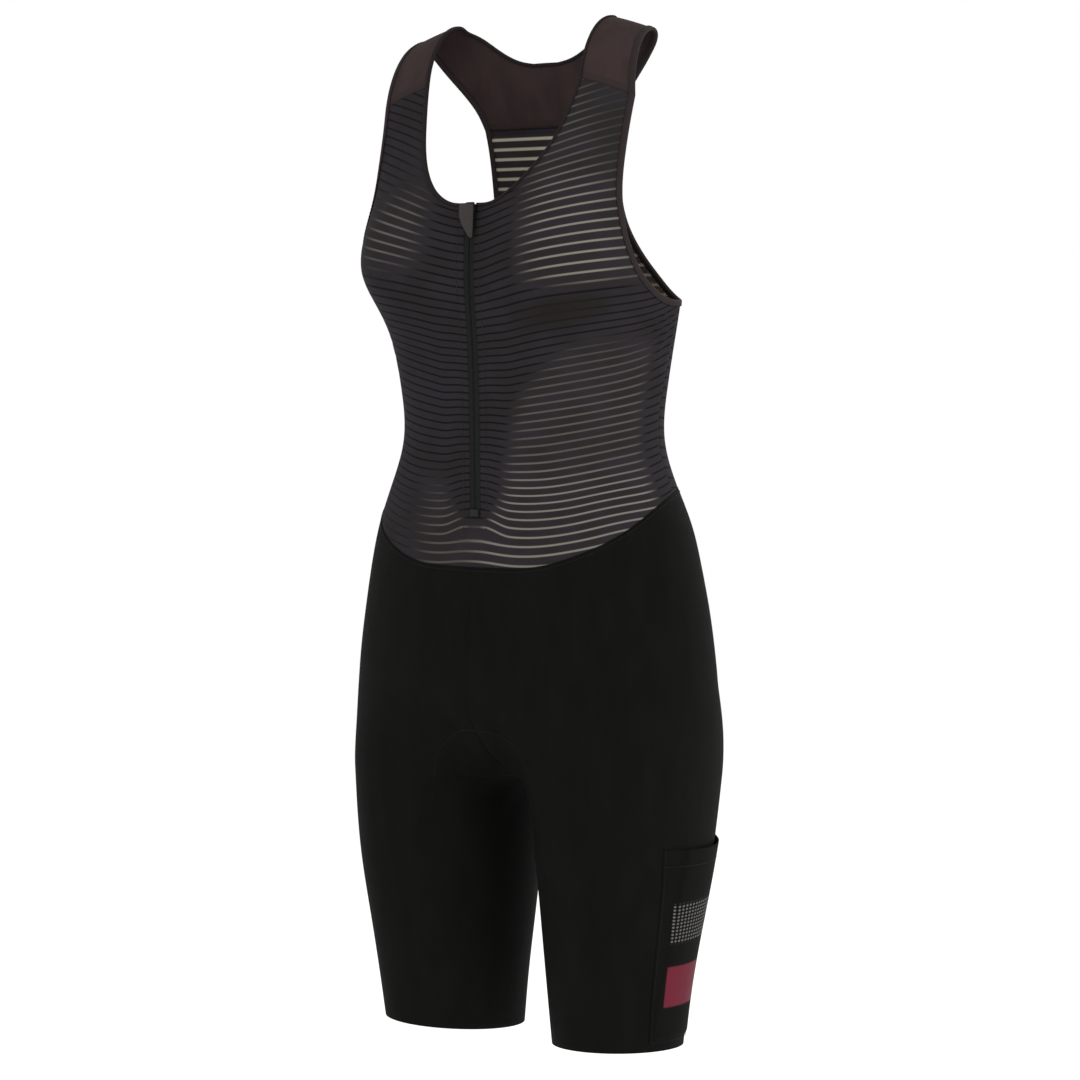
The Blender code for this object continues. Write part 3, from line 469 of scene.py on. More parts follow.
@dataclass(frozen=True)
class Knit:
    """A close knit in one colour with fine wales, a slight mottle and rows of loops."""

    name: str
    colour: Colour
    shade: Colour
    wale: float = 0.0008
    specular: float = 0.03
    depth: float = 0.00012
    band: Colour | None = None  # the colour near its seams
    band_width: float = 0.0062

    def ground(self) -> tuple[Graph, Value, bpy.types.NodeSocket]:
        """The graph with its relief and its mottled colour."""
        graph = Graph(self.name, Specular_IOR_Level=self.specular)
        across, up = graph.placed("cloth")
        wales = (across / self.wale).wave()
        loops = ((up + across * 0.4) / (self.wale * 1.2)).wave()
        mottle = graph.noise(60, 3, (1, 1, 0.35)).between(0.3, 0.7)
        colour = graph.mix(mottle, self.colour, self.shade)
        if self.band is not None:
            from_seam, _ = graph.placed("look")
            edge = self.band_width
            colour = graph.mix(from_seam.between(edge * 0.92, edge * 1.08), self.band, colour)
        return graph, wales * 0.7 + loops * 0.3, colour

    def material(self) -> bpy.types.Material:
        """The finish as a material."""
        graph, height, colour = self.ground()
        colour = graph.mix(height * 0.35, colour, self.shade)
        return graph.finish(colour, 0.8 - 0.08 * height, height, self.depth)


@dataclass(frozen=True)
class PrintedKnit:
    """The pocket's knit with two level printed bars: one of small grey dots and one plain crimson.

    The look map holds places across and up the pocket from 0 to 1.
    """

    ground: Knit
    dots: Colour = linear(92, 91, 89)
    bar: Colour = linear(98, 33, 46)
    bar_shade: Colour = linear(80, 28, 39)
    left: float = 0.10
    right: float = 0.88
    dotted: tuple[float, float] = (0.56, 0.78)
    plain: tuple[float, float] = (0.23, 0.45)
    dots_across: int = 24
    dots_up: int = 12
    soft: float = 0.012

    def material(self) -> bpy.types.Material:
        """The finish as a material."""
        graph, height, colour = self.ground.ground()
        across, up = graph.placed("look")

        def within(place: Value, low: float, high: float) -> Value:
            """1 between two places and 0 outside them, with soft edges."""
            return place.between(low, low + self.soft) * (1 - place.between(high - self.soft, high))

        sides = within(across, self.left, self.right)
        masks = [sides * within(up, *bar) for bar in (self.plain, self.dotted)]
        cells = (across * (self.dots_across / (self.right - self.left))).fraction() - 0.5
        rows = (up * (self.dots_up / (self.dotted[1] - self.dotted[0]))).fraction() - 0.5
        dot = 1 - (cells * cells + rows * rows).between(0.05, 0.13)
        # painted shade: the crimson bar darkens towards the back of the pocket
        crimson = graph.mix(across.between(self.left, self.right), self.bar, self.bar_shade)
        colour = graph.mix(masks[0], colour, crimson)
        colour = graph.mix(masks[1] * dot, colour, self.dots)
        print_skin = masks[0].most(masks[1] * dot)
        return graph.finish(colour, 0.8 - 0.25 * print_skin, height * (1 - 0.6 * print_skin), 0.0001)


@dataclass(frozen=True)
class Ribbed:
    """Elastic or woven tape with fine ribs or a twill across it."""

    name: str
    colour: Colour
    shade: Colour
    rib: float = 0.0007
    slant: float = 0.5  # how far the ribs lean, as metres along for one across
    ribs_seen: float = 0.5  # how much of the shade the ribs take, and the noise
    noise_seen: float = 0.4
    noise: float = 90
    roughness: float = 0.78
    polish: float = 0.1  # how much less rough the ribs' tops are
    specular: float = 0.04
    depth: float = 0.0001

    def material(self) -> bpy.types.Material:
        """The finish as a material."""
        graph = Graph(self.name, Specular_IOR_Level=self.specular)
        along, around = graph.placed("cloth")
        ribs = ((along + around * self.slant) / self.rib).wave()
        share = ribs * self.ribs_seen + graph.noise(self.noise) * self.noise_seen
        colour = graph.mix(share, self.colour, self.shade)
        return graph.finish(colour, self.roughness - self.polish * ribs, ribs, self.depth)


@dataclass(frozen=True)
class Moulded:
    """Rubber, enamel or thread: one colour with fine grain."""

    name: str
    colour: Colour
    roughness: float
    metallic: float = 0.0
    grain: float = 900
    depth: float = 0.00003
    specular: float = 0.3

    def material(self) -> bpy.types.Material:
        """The finish as a material."""
        graph = Graph(self.name, Metallic=self.metallic, Specular_IOR_Level=self.specular)
        grain = graph.noise(self.grain, 3)
        dark = tuple(0.7 * part for part in self.colour)
        colour = graph.mix(grain.between(0.3, 0.7), self.colour, dark)
        return graph.finish(colour, self.roughness + 0.15 * (grain - 0.5), grain, self.depth)


ZIP_WEAVE = Ribbed(
    "zip tape",
    linear(31, 33, 31),
    linear(20, 21, 20),
    rib=0.0006,
    slant=1.0,
    ribs_seen=0.6,
    noise_seen=0.3,
    noise=120,
    roughness=0.75,
    polish=0.0,
    specular=0.06,
    depth=0.00008,
)


class Finish(Enum):
    """The finishes of the garment, each with the record's material slot that it belongs to."""

    MESH = ("striped_mesh", StripedMesh())
    YOKE = ("yoke_knit", Knit("yoke knit", linear(58, 47, 46), linear(51, 41, 41), band=linear(49, 42, 40)))
    ELASTIC = ("folded_elastic", Ribbed("folded elastic", linear(54, 46, 46), linear(36, 30, 30)))
    NECK_ELASTIC = ("folded_elastic", Ribbed("neck elastic", linear(38, 33, 33), linear(28, 24, 24)))
    TAPE = ("zip_tape", ZIP_WEAVE)
    ENAMEL = ("slider_enamel", Moulded("slider enamel", linear(38, 37, 38), 0.4, 0.7))
    RUBBER = ("pull_rubber", Moulded("pull rubber", linear(45, 37, 37), 0.6))
    SHORTS = ("shorts_knit", Knit("shorts knit", linear(17, 17, 16), linear(14, 14, 13), wale=0.0007))
    POCKET = ("pocket_knit", PrintedKnit(Knit("pocket knit", linear(17, 17, 16), linear(14, 14, 13))))
    THREAD_BIB = ("striped_mesh", Moulded("bib thread", linear(15, 14, 18), 0.7))
    THREAD_SHORTS = ("shorts_knit", Moulded("shorts thread", linear(13, 13, 13), 0.7))
    THREAD_ELASTIC = ("folded_elastic", Moulded("elastic thread", linear(34, 27, 27), 0.7))

    @property
    def slot(self) -> str:
        """The record's material slot."""
        return self.value[0]

    @property
    def material(self) -> bpy.types.Material:
        """The material, made once."""
        if self not in MADE:
            MADE[self] = self.value[1].material()
        return MADE[self]


MADE: dict[Finish, bpy.types.Material] = {}


# ---------------------------------------------------------------- meshes


def piece(
    name: str,
    points: Array,
    faces: Array,
    finish: Finish,
    body: str = "garment",
    maps: dict[str, Array] | None = None,
) -> bpy.types.Object:
    """One finished piece, riding on a body.

    Args:
        name: the piece's name.
        points: its points, n by 3.
        faces: its faces, m by 4 numbers of points, with the last repeating the third in a triangle.
        finish: what it is made of.
        body: the body that it rides on.
        maps: a UV map for each name, as m by 4 by 2 numbers.

    Returns:
        The object, at the origin.
    """
    mesh = bpy.data.meshes.new(name)
    triangle = faces[:, 2] == faces[:, 3]
    keep = np.ones(faces.shape, bool)
    keep[triangle, 3] = False
    loops = faces[keep]
    totals = keep.sum(axis=1)
    mesh.vertices.add(len(points))
    mesh.vertices.foreach_set("co", np.ascontiguousarray(points, np.float32).ravel())
    mesh.loops.add(len(loops))
    mesh.loops.foreach_set("vertex_index", loops.astype(np.int32))
    mesh.polygons.add(len(faces))
    mesh.polygons.foreach_set("loop_start", (np.cumsum(totals) - totals).astype(np.int32))
    mesh.polygons.foreach_set("use_smooth", np.ones(len(faces), bool))
    for layer, values in (maps or {}).items():
        mesh.uv_layers.new(name=layer).data.foreach_set("uv", values[keep].astype(np.float32).ravel())
    mesh.update(calc_edges=True)
    mesh.validate()
    mesh.materials.append(finish.material)
    made = bpy.data.objects.new(name, mesh)
    bpy.context.scene.collection.objects.link(made)
    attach(made, body)
    log.info("%s: %d faces", name, len(faces))
    return made


def grid_faces(number: Array, kept: Array | None = None) -> Array:
    """The four-cornered faces between the numbers of a grid, where kept."""
    cells = np.stack([number[:-1, :-1], number[:-1, 1:], number[1:, 1:], number[1:, :-1]], axis=-1)
    return cells[kept] if kept is not None else cells.reshape(-1, 4)


def rim_of(faces: Array) -> Array:
    """The directed edges that only one face has, as pairs of numbers."""
    edges = np.stack([faces, np.roll(faces, -1, axis=1)], axis=-1).reshape(-1, 2).astype(np.int64)
    top = edges.max() + 1
    open_edge = ~np.isin(edges[:, 1] * top + edges[:, 0], edges[:, 0] * top + edges[:, 1])
    return edges[open_edge]


def run_of(points: Array, axis: int = 0) -> Array:
    """How far along an axis of a grid each of its points is, by way of the points before it."""
    steps = np.linalg.norm(np.diff(points, axis=axis), axis=-1)
    return np.insert(np.cumsum(steps, axis=axis), 0, 0, axis=axis)


def shell_between(
    name: str,
    low: Array,
    high: Array,
    finish: Finish,
    maps: dict[str, tuple[Array, Array]],
    kept: Array | None = None,
    tube_rows: int = 0,
    mirrored: bool = False,
    body: str = "garment",
) -> bpy.types.Object:
    """A closed shell between an inner and an outer grid of points. Its rim has 0 in the look map.

    Args:
        name: the piece's name.
        low: the inner points, rows by columns by 3.
        high: the outer ones.
        finish: what it is made of.
        maps: a UV map for each name, as its values on the outer and on the inner grid.
        kept: which of the cells are cloth.
        tube_rows: in this many rows the last column is the first one again.
        mirrored: whether the grids are mirror images, so that their faces turn the other way.
        body: the body that it rides on.

    Returns:
        The object.
    """
    rows, columns = low.shape[:2]
    count = rows * columns
    number = np.arange(count).reshape(rows, columns)
    sewn = number.copy()
    sewn[:tube_rows, -1] = sewn[:tube_rows, 0]
    cells, merged = grid_faces(number, kept), grid_faces(sewn, kept)
    ends = rim_of(merged)
    rim = ends[:, [1, 0, 0, 1]] + (count, count, 0, 0)
    faces = np.concatenate([merged + count, merged[:, ::-1], rim])
    layers = {}
    for layer, (outer, inner) in maps.items():
        outer, inner = outer.reshape(-1, 2), inner.reshape(-1, 2)
        edge = outer[ends[:, [1, 0, 0, 1]]] * (layer != "look")
        layers[layer] = np.concatenate([outer[cells], inner[cells[:, ::-1]], edge])
    if mirrored:
        faces = faces[:, ::-1]
        layers = {layer: values[:, ::-1] for layer, values in layers.items()}
    points = np.concatenate([low.reshape(-1, 3), high.reshape(-1, 3)])
    used, faces = np.unique(faces, return_inverse=True)
    return piece(name, points[used], faces.reshape(-1, 4), finish, body, layers)


@dataclass(frozen=True)
class Cloth:
    """Cloth over a grid of places.

    inner holds points, outs unit directions outwards, and place metres across and up the cloth. look is the
    outer face's look map and look_inside the inner face's. kept says which of the cells are cloth.
    """

    inner: Array
    outs: Array
    place: Array
    thickness: float
    look: Array | None = None
    look_inside: Array | None = None
    kept: Array | None = None

    def shell(self, name: str, finish: Finish) -> bpy.types.Object:
        """The cloth as a closed shell."""
        maps = {"cloth": (self.place, self.place)}
        if self.look is not None:
            maps["look"] = (self.look, self.look if self.look_inside is None else self.look_inside)
        high = self.inner + self.thickness * self.outs
        return shell_between(name, self.inner, high, finish, maps, self.kept)


def cord_frames(path: Array, outs: Array, closed: bool = False) -> tuple[Array, Array, Array]:
    """Directions along a path, square out from the cloth, and sideways, at each of its points."""
    if closed:
        along = unit(np.roll(path, -1, axis=0) - np.roll(path, 1, axis=0))
    else:
        along = unit(np.gradient(path, axis=0))
    out = unit(outs - np.sum(outs * along, axis=-1, keepdims=True) * along)
    return along, out, np.cross(along, out)


def strip(
    name: str,
    path: Array,
    outs: Array,
    finish: Finish,
    section: Array,
    closed: bool = False,
    flip: float = 1.0,
    body: str = "garment",
) -> bpy.types.Object:
    """A closed section carried along a path.

    Args:
        name: the piece's name.
        path: the points that it follows.
        outs: outward directions there.
        finish: what it is made of.
        section: its outline, as distances sideways and out.
        closed: whether the path is a ring.
        flip: -1 turns sideways round.
        body: the body that it rides on.

    Returns:
        The object.
    """
    _, out, side = cord_frames(path, outs, closed)
    ring = section[::-1] if flip > 0 else section
    points = path[:, None] + ring[None, :, :1] * flip * side[:, None] + ring[None, :, 1:] * out[:, None]
    count, corners = points.shape[:2]
    number = np.arange(count * corners).reshape(count, corners)
    if closed:
        number, path = np.concatenate([number, number[:1]]), np.concatenate([path, path[:1]])
    number = np.concatenate([number, number[:, :1]], axis=1)
    around = run_of(np.concatenate([ring, ring[:1]]))
    place = np.stack(np.meshgrid(run_of(path), around, indexing="ij"), axis=-1)
    faces, cells = grid_faces(number), grid_faces(np.arange(number.size).reshape(number.shape))
    maps, everything = place.reshape(-1, 2)[cells], points.reshape(-1, 3)
    if not closed:
        for row, ends in ((0, number[0, ::-1]), (-1, number[-1])):
            middle = np.full(corners, len(everything))
            faces = np.concatenate([faces, np.stack([ends[:-1], ends[1:], middle, middle], axis=-1)])
            maps = np.concatenate([maps, np.zeros((corners, 4, 2))])
            everything = np.concatenate([everything, points[row].mean(axis=0)[None]])
    return piece(name, everything, faces, finish, body, {"cloth": maps})


def resampled(path: Array, outs: Array, pitch: float) -> tuple[Array, Array]:
    """Points, and directions out, at an even pitch on a path."""
    run = run_of(path)
    count = max(int(run[-1] / pitch), 2)
    at = (np.arange(count) + 0.5) * run[-1] / count
    spots, square = (
        np.stack([np.interp(at, run, part) for part in given.T], axis=-1) for given in (path, outs)
    )
    return spots, unit(square)


@dataclass(frozen=True)
class Stitches:
    """A row of stitches: short threads that dip into the cloth at both ends."""

    pitch: float = 0.0030
    length: float = 0.0024
    radius: float = 0.00022
    sunk: float = 0.35  # how much of the thread lies in the cloth

    def rows(
        self, name: str, paths: list[tuple[Array, Array]], finish: Finish, lift: float
    ) -> bpy.types.Object:
        """All the stitches along several paths as one piece.

        Each stitch is a bent tube: at a share s of its length its centre stands 1 - (2 s - 1)^2 high and
        its radius falls to nothing at both ends.
        """
        share = np.linspace(0, 1, 7)
        bow = 1 - (2 * share - 1) ** 2
        thick = self.radius * np.sqrt(np.clip(bow, 0.02, 1))
        angle = 2 * np.pi * np.arange(6) / 6
        everything = []
        for path, outs in paths:
            spots, square = resampled(path, outs, self.pitch)
            along, square, side = cord_frames(spots, square)
            centre_out = lift + self.radius * (bow - self.sunk - 0.4)
            line = spots[:, None] + (share - 0.5)[:, None] * self.length * along[:, None]
            line = line + centre_out[:, None] * square[:, None]
            ring = np.cos(angle)[:, None] * side[:, None, None]
            ring = ring + np.sin(angle)[:, None] * square[:, None, None]
            everything.append(line[:, :, None] + thick[:, None, None] * ring)
        points = np.concatenate(everything)
        count, stations, corners = points.shape[:3]
        number = np.arange(stations * corners).reshape(stations, corners)
        tube = grid_faces(np.concatenate([number, number[:, :1]], axis=1))[:, ::-1]
        ends = np.array([[0, 1, 2, 3], [0, 3, 4, 5]])
        last = (stations - 1) * corners
        one = np.concatenate([tube, ends, (ends + last)[:, ::-1]])
        faces = (np.arange(count)[:, None, None] * stations * corners + one).reshape(-1, 4)
        return piece(name, points.reshape(-1, 3), faces, finish)


# ---------------------------------------------------------------- the garment

TRUNK = table(
    "height half_width front back side_y squareness",
    (-0.640, 0.1625, 0.0850, 0.1060, -0.010, 2.15),
    (-0.600, 0.1640, 0.0895, 0.1160, -0.010, 2.15),
    (-0.560, 0.1645, 0.0910, 0.1180, -0.010, 2.15),
    (-0.515, 0.1610, 0.0890, 0.1145, -0.010, 2.15),
    (-0.480, 0.1565, 0.0870, 0.1065, -0.009, 2.15),
    (-0.446, 0.1510, 0.0830, 0.0975, -0.009, 2.15),
    (-0.413, 0.1427, 0.0795, 0.0910, -0.009, 2.15),
    (-0.380, 0.1285, 0.0790, 0.0850, -0.009, 2.15),
    (-0.345, 0.1165, 0.0815, 0.0790, -0.007, 2.15),
    (-0.300, 0.1195, 0.0835, 0.0755, -0.006, 2.15),
    (-0.263, 0.1265, 0.0870, 0.0680, -0.004, 2.20),
    (-0.230, 0.1325, 0.0900, 0.0570, -0.002, 2.30),
    (-0.190, 0.1370, 0.0905, 0.0430, -0.001, 2.40),
    (-0.152, 0.1415, 0.0895, 0.0310, 0.000, 2.40),
    (-0.120, 0.1500, 0.0805, 0.0250, 0.000, 2.40),
    (-0.085, 0.1590, 0.0660, 0.0190, 0.000, 2.40),
    (-0.052, 0.1660, 0.0530, 0.0140, 0.000, 2.40),
    (-0.030, 0.1680, 0.0440, 0.0110, 0.000, 2.40),
)
LEG = table(
    "height outer inner front back squareness skew",
    (-0.848, 0.1370, 0.0300, -0.0625, 0.0545, 2.00, 0.10),
    (-0.800, 0.1425, 0.0265, -0.0690, 0.0600, 2.00, 0.10),
    (-0.750, 0.1500, 0.0222, -0.0755, 0.0680, 2.00, 0.10),
    (-0.700, 0.1570, 0.0193, -0.0820, 0.0765, 2.05, 0.09),
    (-0.660, 0.1595, 0.0180, -0.0870, 0.0840, 2.10, 0.07),
    (-0.620, 0.1600, 0.0170, -0.0915, 0.0920, 2.15, 0.05),
    (-0.540, 0.1635, 0.0170, -0.0950, 0.1010, 2.20, 0.03),
)
WAIST = table(
    "turn height",
    (0, -0.4460),
    (20, -0.4455),
    (40, -0.4425),
    (55, -0.4325),
    (68, -0.4175),
    (80, -0.3995),
    (92, -0.3880),
    (113, -0.3820),
    (145, -0.3760),
    (180, -0.3730),
)
# The cut edges: the first two as turns in degrees and heights, the others as distances across and heights.
NECKLINE = np.array([(11.8, -0.1512), (19.3, -0.1450), (26.8, -0.1340), (35.0, -0.1187), (43.5, -0.0990)])
ARMHOLE_FRONT = np.array(
    [
        (84.4, -0.2275), (76.9, -0.2203), (70.3, -0.2090), (65.9, -0.1940), (63.6, -0.1740),
        (63.3, -0.1500), (65.2, -0.1200),
    ]
)
ARMHOLE_BACK = np.array(
    [
        (0.1110, -0.2235), (0.0980, -0.2130), (0.0835, -0.1970), (0.0728, -0.1800), (0.0662, -0.1620),
        (0.0640, -0.1420), (0.0640, -0.1150),
    ]
)
BACK_NECK = np.array(
    [
        (0.0762, -0.0012), (0.0740, -0.0032), (0.0680, -0.0060), (0.0600, -0.0102), (0.0500, -0.0170),
        (0.0380, -0.0245), (0.0250, -0.0300), (0.0120, -0.0325),
    ]
)
YOKE_ARMHOLE = np.array(
    [
        (0.1150, -0.0150), (0.1130, -0.0200), (0.1085, -0.0265), (0.0985, -0.0385), (0.0820, -0.0570),
        (0.0722, -0.0710), (0.0665, -0.0845),
    ]
)


def waist_height(turn_degrees: Array) -> Array:
    """The height of the waist seam, round from the centre front."""
    return read(WAIST, "height", np.abs(turn_degrees))


def along(points: Array, count: int, size: tuple[float, float] = (0.002, 1), crowding: float = 1) -> Array:
    """Places on a smooth curve through a list of them, evenly or closer together at its start.

    Args:
        points: the list.
        count: how many places are drawn.
        size: turns the two numbers of a place into metres of cloth.
        crowding: over 1, the places stand closer at the start.

    Returns:
        The places.
    """
    run = run_of(points * np.array(size))
    return smooth(run, points, run[-1] * np.linspace(0, 1, count) ** crowding)


def rising(turn: float, low: float, high: float, cells: int) -> Array:
    """Places straight up a seam, without the last one."""
    height = np.linspace(low, high, cells + 1)[:-1]
    return np.stack([np.full_like(height, turn), height], axis=-1)


def ruled(inner: Array, outer: Array, share: Array) -> Array:
    """Rows of places drawn straight from an inner cut edge to an outer one."""
    return inner[:, None] + share[None, :, None] * (outer - inner)[:, None]


def relaxed(chart: Array, steps: int = 60) -> Array:
    """The chart with its inner places evened out, each the mean of its four neighbours."""
    for _ in range(steps):
        chart[1:-1, 1:-1] = (chart[:-2, 1:-1] + chart[2:, 1:-1] + chart[1:-1, :-2] + chart[1:-1, 2:]) / 4
    return chart


def settled(chart: Array, rows: int) -> Array:
    """The chart with its lowest row moved on to the waist seam, and the rows above it less and less."""
    away = np.where(chart[0, :, 0] > 180, 360 - chart[0, :, 0], chart[0, :, 0])
    shift = waist_height(away) + SEAM_GAP / 2 - chart[0, :, 1]
    chart[:rows, :, 1] += np.linspace(1, 0, rows)[:, None] * shift
    return chart


def doubled(left: Array, flip: Array | float = MIRROR, shared: int = 0) -> Array:
    """A grid of the left side after its mirror image; shared is 1 where they have a column in common."""
    return np.concatenate([(left[:, shared:] * flip)[:, ::-1], left], axis=1)


def cloth_place(points: Array) -> Array:
    """Metres of cloth across from the middle column and up from the first row, at each point of a grid."""
    across = run_of(points, 1)
    return np.stack([across - across[:, [points.shape[1] // 2]], run_of(points)], axis=-1)


# How much higher than beside the zip a stripe runs at each turn from the centre front, in millimetres.
STRIPE_LIFT = table(
    "height t0 t8 t16 t24 t32 t42 t52 t62 t72 t84 t96",
    (-0.445, 0, -0.4, -1.4, -2.4, -2.4, -0.9, 2.6, 8.3, 16.3, 21.2, 27.3),
    (-0.430, 0, -0.5, -1.8, -2.9, -3.0, -1.4, 2.4, 8.2, 16.1, 21.2, 27.3),
    (-0.415, 0, -0.7, -2.5, -4.0, -4.4, -3.2, 0.3, 6.2, 13.0, 18.8, 26.2),
    (-0.400, 0, -0.9, -2.7, -4.1, -4.5, -3.5, -0.8, 4.3, 9.4, 14.3, 21.8),
    (-0.380, 0, -0.7, -1.9, -2.6, -2.7, -1.9, 0.5, 4.2, 8.0, 12.0, 18.0),
    (-0.350, 0, -0.3, -0.2, 0.3, 1.0, 2.4, 4.9, 8.0, 11.3, 15.0, 19.0),
    (-0.310, 0, 0.6, 2.0, 3.7, 5.6, 8.0, 10.6, 13.6, 17.0, 21.1, 25.6),
    (-0.270, 0, 0.9, 3.3, 6.2, 9.1, 12.6, 16.0, 19.4, 23.3, 30.0, 37.6),
    (-0.230, 0, 1.4, 4.8, 8.8, 12.4, 15.9, 18.7, 21.6, 24.7, 31.0, 41.4),
    (-0.190, 0, 1.3, 4.8, 9.3, 13.8, 18.2, 21.5, 24.1, 26.8, 31.9, 40.2),
    (-0.150, 0, 1.3, 5.0, 10.0, 15.1, 20.6, 25.0, 28.5, 31.6, 36.6, 44.4),
    (-0.110, 0, 1.2, 5.0, 10.0, 15.3, 21.4, 27.6, 33.5, 38.4, 43.5, 51.1),
    (-0.060, 0, 1.2, 5.0, 10.0, 15.3, 21.2, 27.3, 34.2, 41.3, 48.0, 57.0),
)
# The number of the stripe at each height beside the zip: the knit is stretched most where they stand apart.
STRIPE_NUMBER = table(
    "height number",
    (-0.520, -9.7),
    (-0.4450, 0.0),
    (-0.4206, 3.0),
    (-0.3982, 6.0),
    (-0.3748, 10.0),
    (-0.3456, 15.0),
    (-0.3164, 20.0),
    (-0.2870, 25.0),
    (-0.2578, 30.0),
    (-0.2262, 35.0),
    (-0.1920, 40.0),
    (-0.1704, 43.2),
    (-0.1454, 47.2),
    (-0.1206, 51.2),
    (-0.0500, 62.6),
)
# Painted light below the chest: how pale the sheer lines are down each side of the front, and the turn from
# which they are.
PAINTED_LINE_LIGHT = table(
    "height left right from_turn",
    (-0.450, 0.82, 0.40, -20),
    (-0.424, 0.82, 0.40, -14),
    (-0.412, 0.80, 0.42, 2),
    (-0.400, 0.78, 0.40, 12),
    (-0.388, 0.80, 0.33, 17),
    (-0.376, 0.72, 0.20, 19),
    (-0.364, 0.52, 0.07, 18),
    (-0.352, 0.43, 0.00, 20),
    (-0.316, 0.43, 0.00, 24),
    (-0.292, 0.38, 0.00, 33),
    (-0.268, 0.30, 0.00, 45),
    (-0.250, 0.00, 0.00, 54),
)


@dataclass(frozen=True)
class ChestPatch:
    """Painted light on the sheer lines of one side of the chest, by heights and turns in degrees from the
    zip.
    """

    pale: float
    foot: tuple[float, float]  # the heights over which they appear
    thinner: float  # how much less pale they are towards the strap, over these heights
    strap: tuple[float, float]
    start: tuple[float, float]  # the turns over which they appear
    less: float  # how much less pale they are towards the armhole, over these turns
    armhole: tuple[float, float]

    def at(self, away: Array, height: Array) -> Array:
        """How pale the lines are."""
        up = step_up(*self.foot, height) * (1 - self.thinner * step_up(*self.strap, height))
        return self.pale * up * step_up(*self.start, away) * (1 - self.less * step_up(*self.armhole, away))


CHEST_LEFT = ChestPatch(1.0, (-0.231, -0.200), 0.58, (-0.170, -0.112), (20, 42), 0.45, (50, 66))
CHEST_RIGHT = ChestPatch(0.52, (-0.222, -0.184), 0.72, (-0.168, -0.124), (14, 31), 0.6, (38, 56))


@dataclass(frozen=True)
class Stripes:
    """Where the mesh's stripes run, and where painted light pales its sheer lines and painted shade hides
    them.
    """

    back_pitch: float = 0.0082
    back_phase: float = 0.3
    back_hem: float = 0.004  # the band below the yoke's seam in which the back's lines stay dark
    half_way: float = 0.5  # of a stripe, from the dark lines beside the zip to the pale ones lower down
    hollow_turn: float = 44  # painted shade in the hollow under the left of the chest
    hollow_height: float = -0.2375
    hollow_slope: float = 0.0004
    hollow_wide: float = 21
    hollow_tall: float = 0.0155
    hollow_shade: float = 0.85
    most: float = 0.94  # how pale a line can be on the outside

    def lift(self, turn: Array, height: Array) -> Array:
        """How much higher a stripe is at a turn in degrees than beside the zip, in metres."""
        turns = np.array([float(name[1:]) for name in STRIPE_LIFT if name != "height"])
        shares = smooth(turns, np.eye(len(turns)), np.clip(np.abs(turn), 0, turns[-1]))
        columns = [read(STRIPE_LIFT, f"t{stop:.0f}", height) for stop in turns]
        return np.sum(shares * np.stack(columns, axis=-1), axis=-1) / 1000

    def front(self, turn: Array, height: Array) -> Array:
        """The front's look map: the stripe number, and painted light and shade on the sheer lines."""
        away = np.abs(turn)
        level = height - self.lift(turn, height)
        number = read(STRIPE_NUMBER, "number", level)
        below_chest = 1 - step_up(-0.262, -0.205, level)
        foot = 1 - step_up(-0.426, -0.414, height)
        number = number + self.half_way * np.maximum(step_up(8, 24, away) * below_chest, foot)
        chest = np.where(turn > 0, CHEST_LEFT.at(away, height), CHEST_RIGHT.at(away, height))
        pale = np.maximum(chest, self._flank(turn, away, height))
        across = turn - self.hollow_turn
        up = (height - self.hollow_height - self.hollow_slope * across) / self.hollow_tall
        hollow = np.exp(-((across / self.hollow_wide) ** 2) - up**2)
        # painted shade in the hollow under the chest, which darkens the cloth and hides its lines
        pale = pale - self.hollow_shade * np.maximum(hollow - 0.03, 0) * (1 - pale)
        return np.stack([number, np.clip(pale, -1, self.most)], axis=-1)

    @staticmethod
    def _flank(turn: Array, away: Array, height: Array) -> Array:
        """How pale painted light makes the sheer lines below the chest, down to the waist seam."""
        left, right, start = (read(PAINTED_LINE_LIGHT, column, height) for column in ("left", "right", "from_turn"))
        right = right * (1 - 0.7 * step_up(26, 50, away))
        pale = right + (left - right) * step_up(-8, 20, turn)
        return np.maximum(pale, 0) * step_up(start - 6, start + 9, away) * (1 - step_up(79, 89, away))

    def back(self, turn: Array, height: Array, pale: float, at_side: float) -> Array:
        """The back's look map: level stripes rising to the side seams, with painted light on the lines."""
        away = np.abs(180 - turn)
        lift = 0.006 * step_up(48, 84, away) * (1 - step_up(-0.27, -0.22, height))
        shown = pale + (at_side - pale) * step_up(52, 70, away) * (1 - step_up(-0.185, -0.165, height))
        shown = shown * (1 - step_up(-self.back_hem, -self.back_hem + 0.001, height - np.max(height)))
        return np.stack([(height - lift) / self.back_pitch + self.back_phase, shown], axis=-1)


@dataclass(frozen=True)
class Edges:
    """The cut edges of one panel on the wearer's left, each as points and outward directions."""

    neck: tuple[Array, Array] | None
    armhole: tuple[Array, Array]


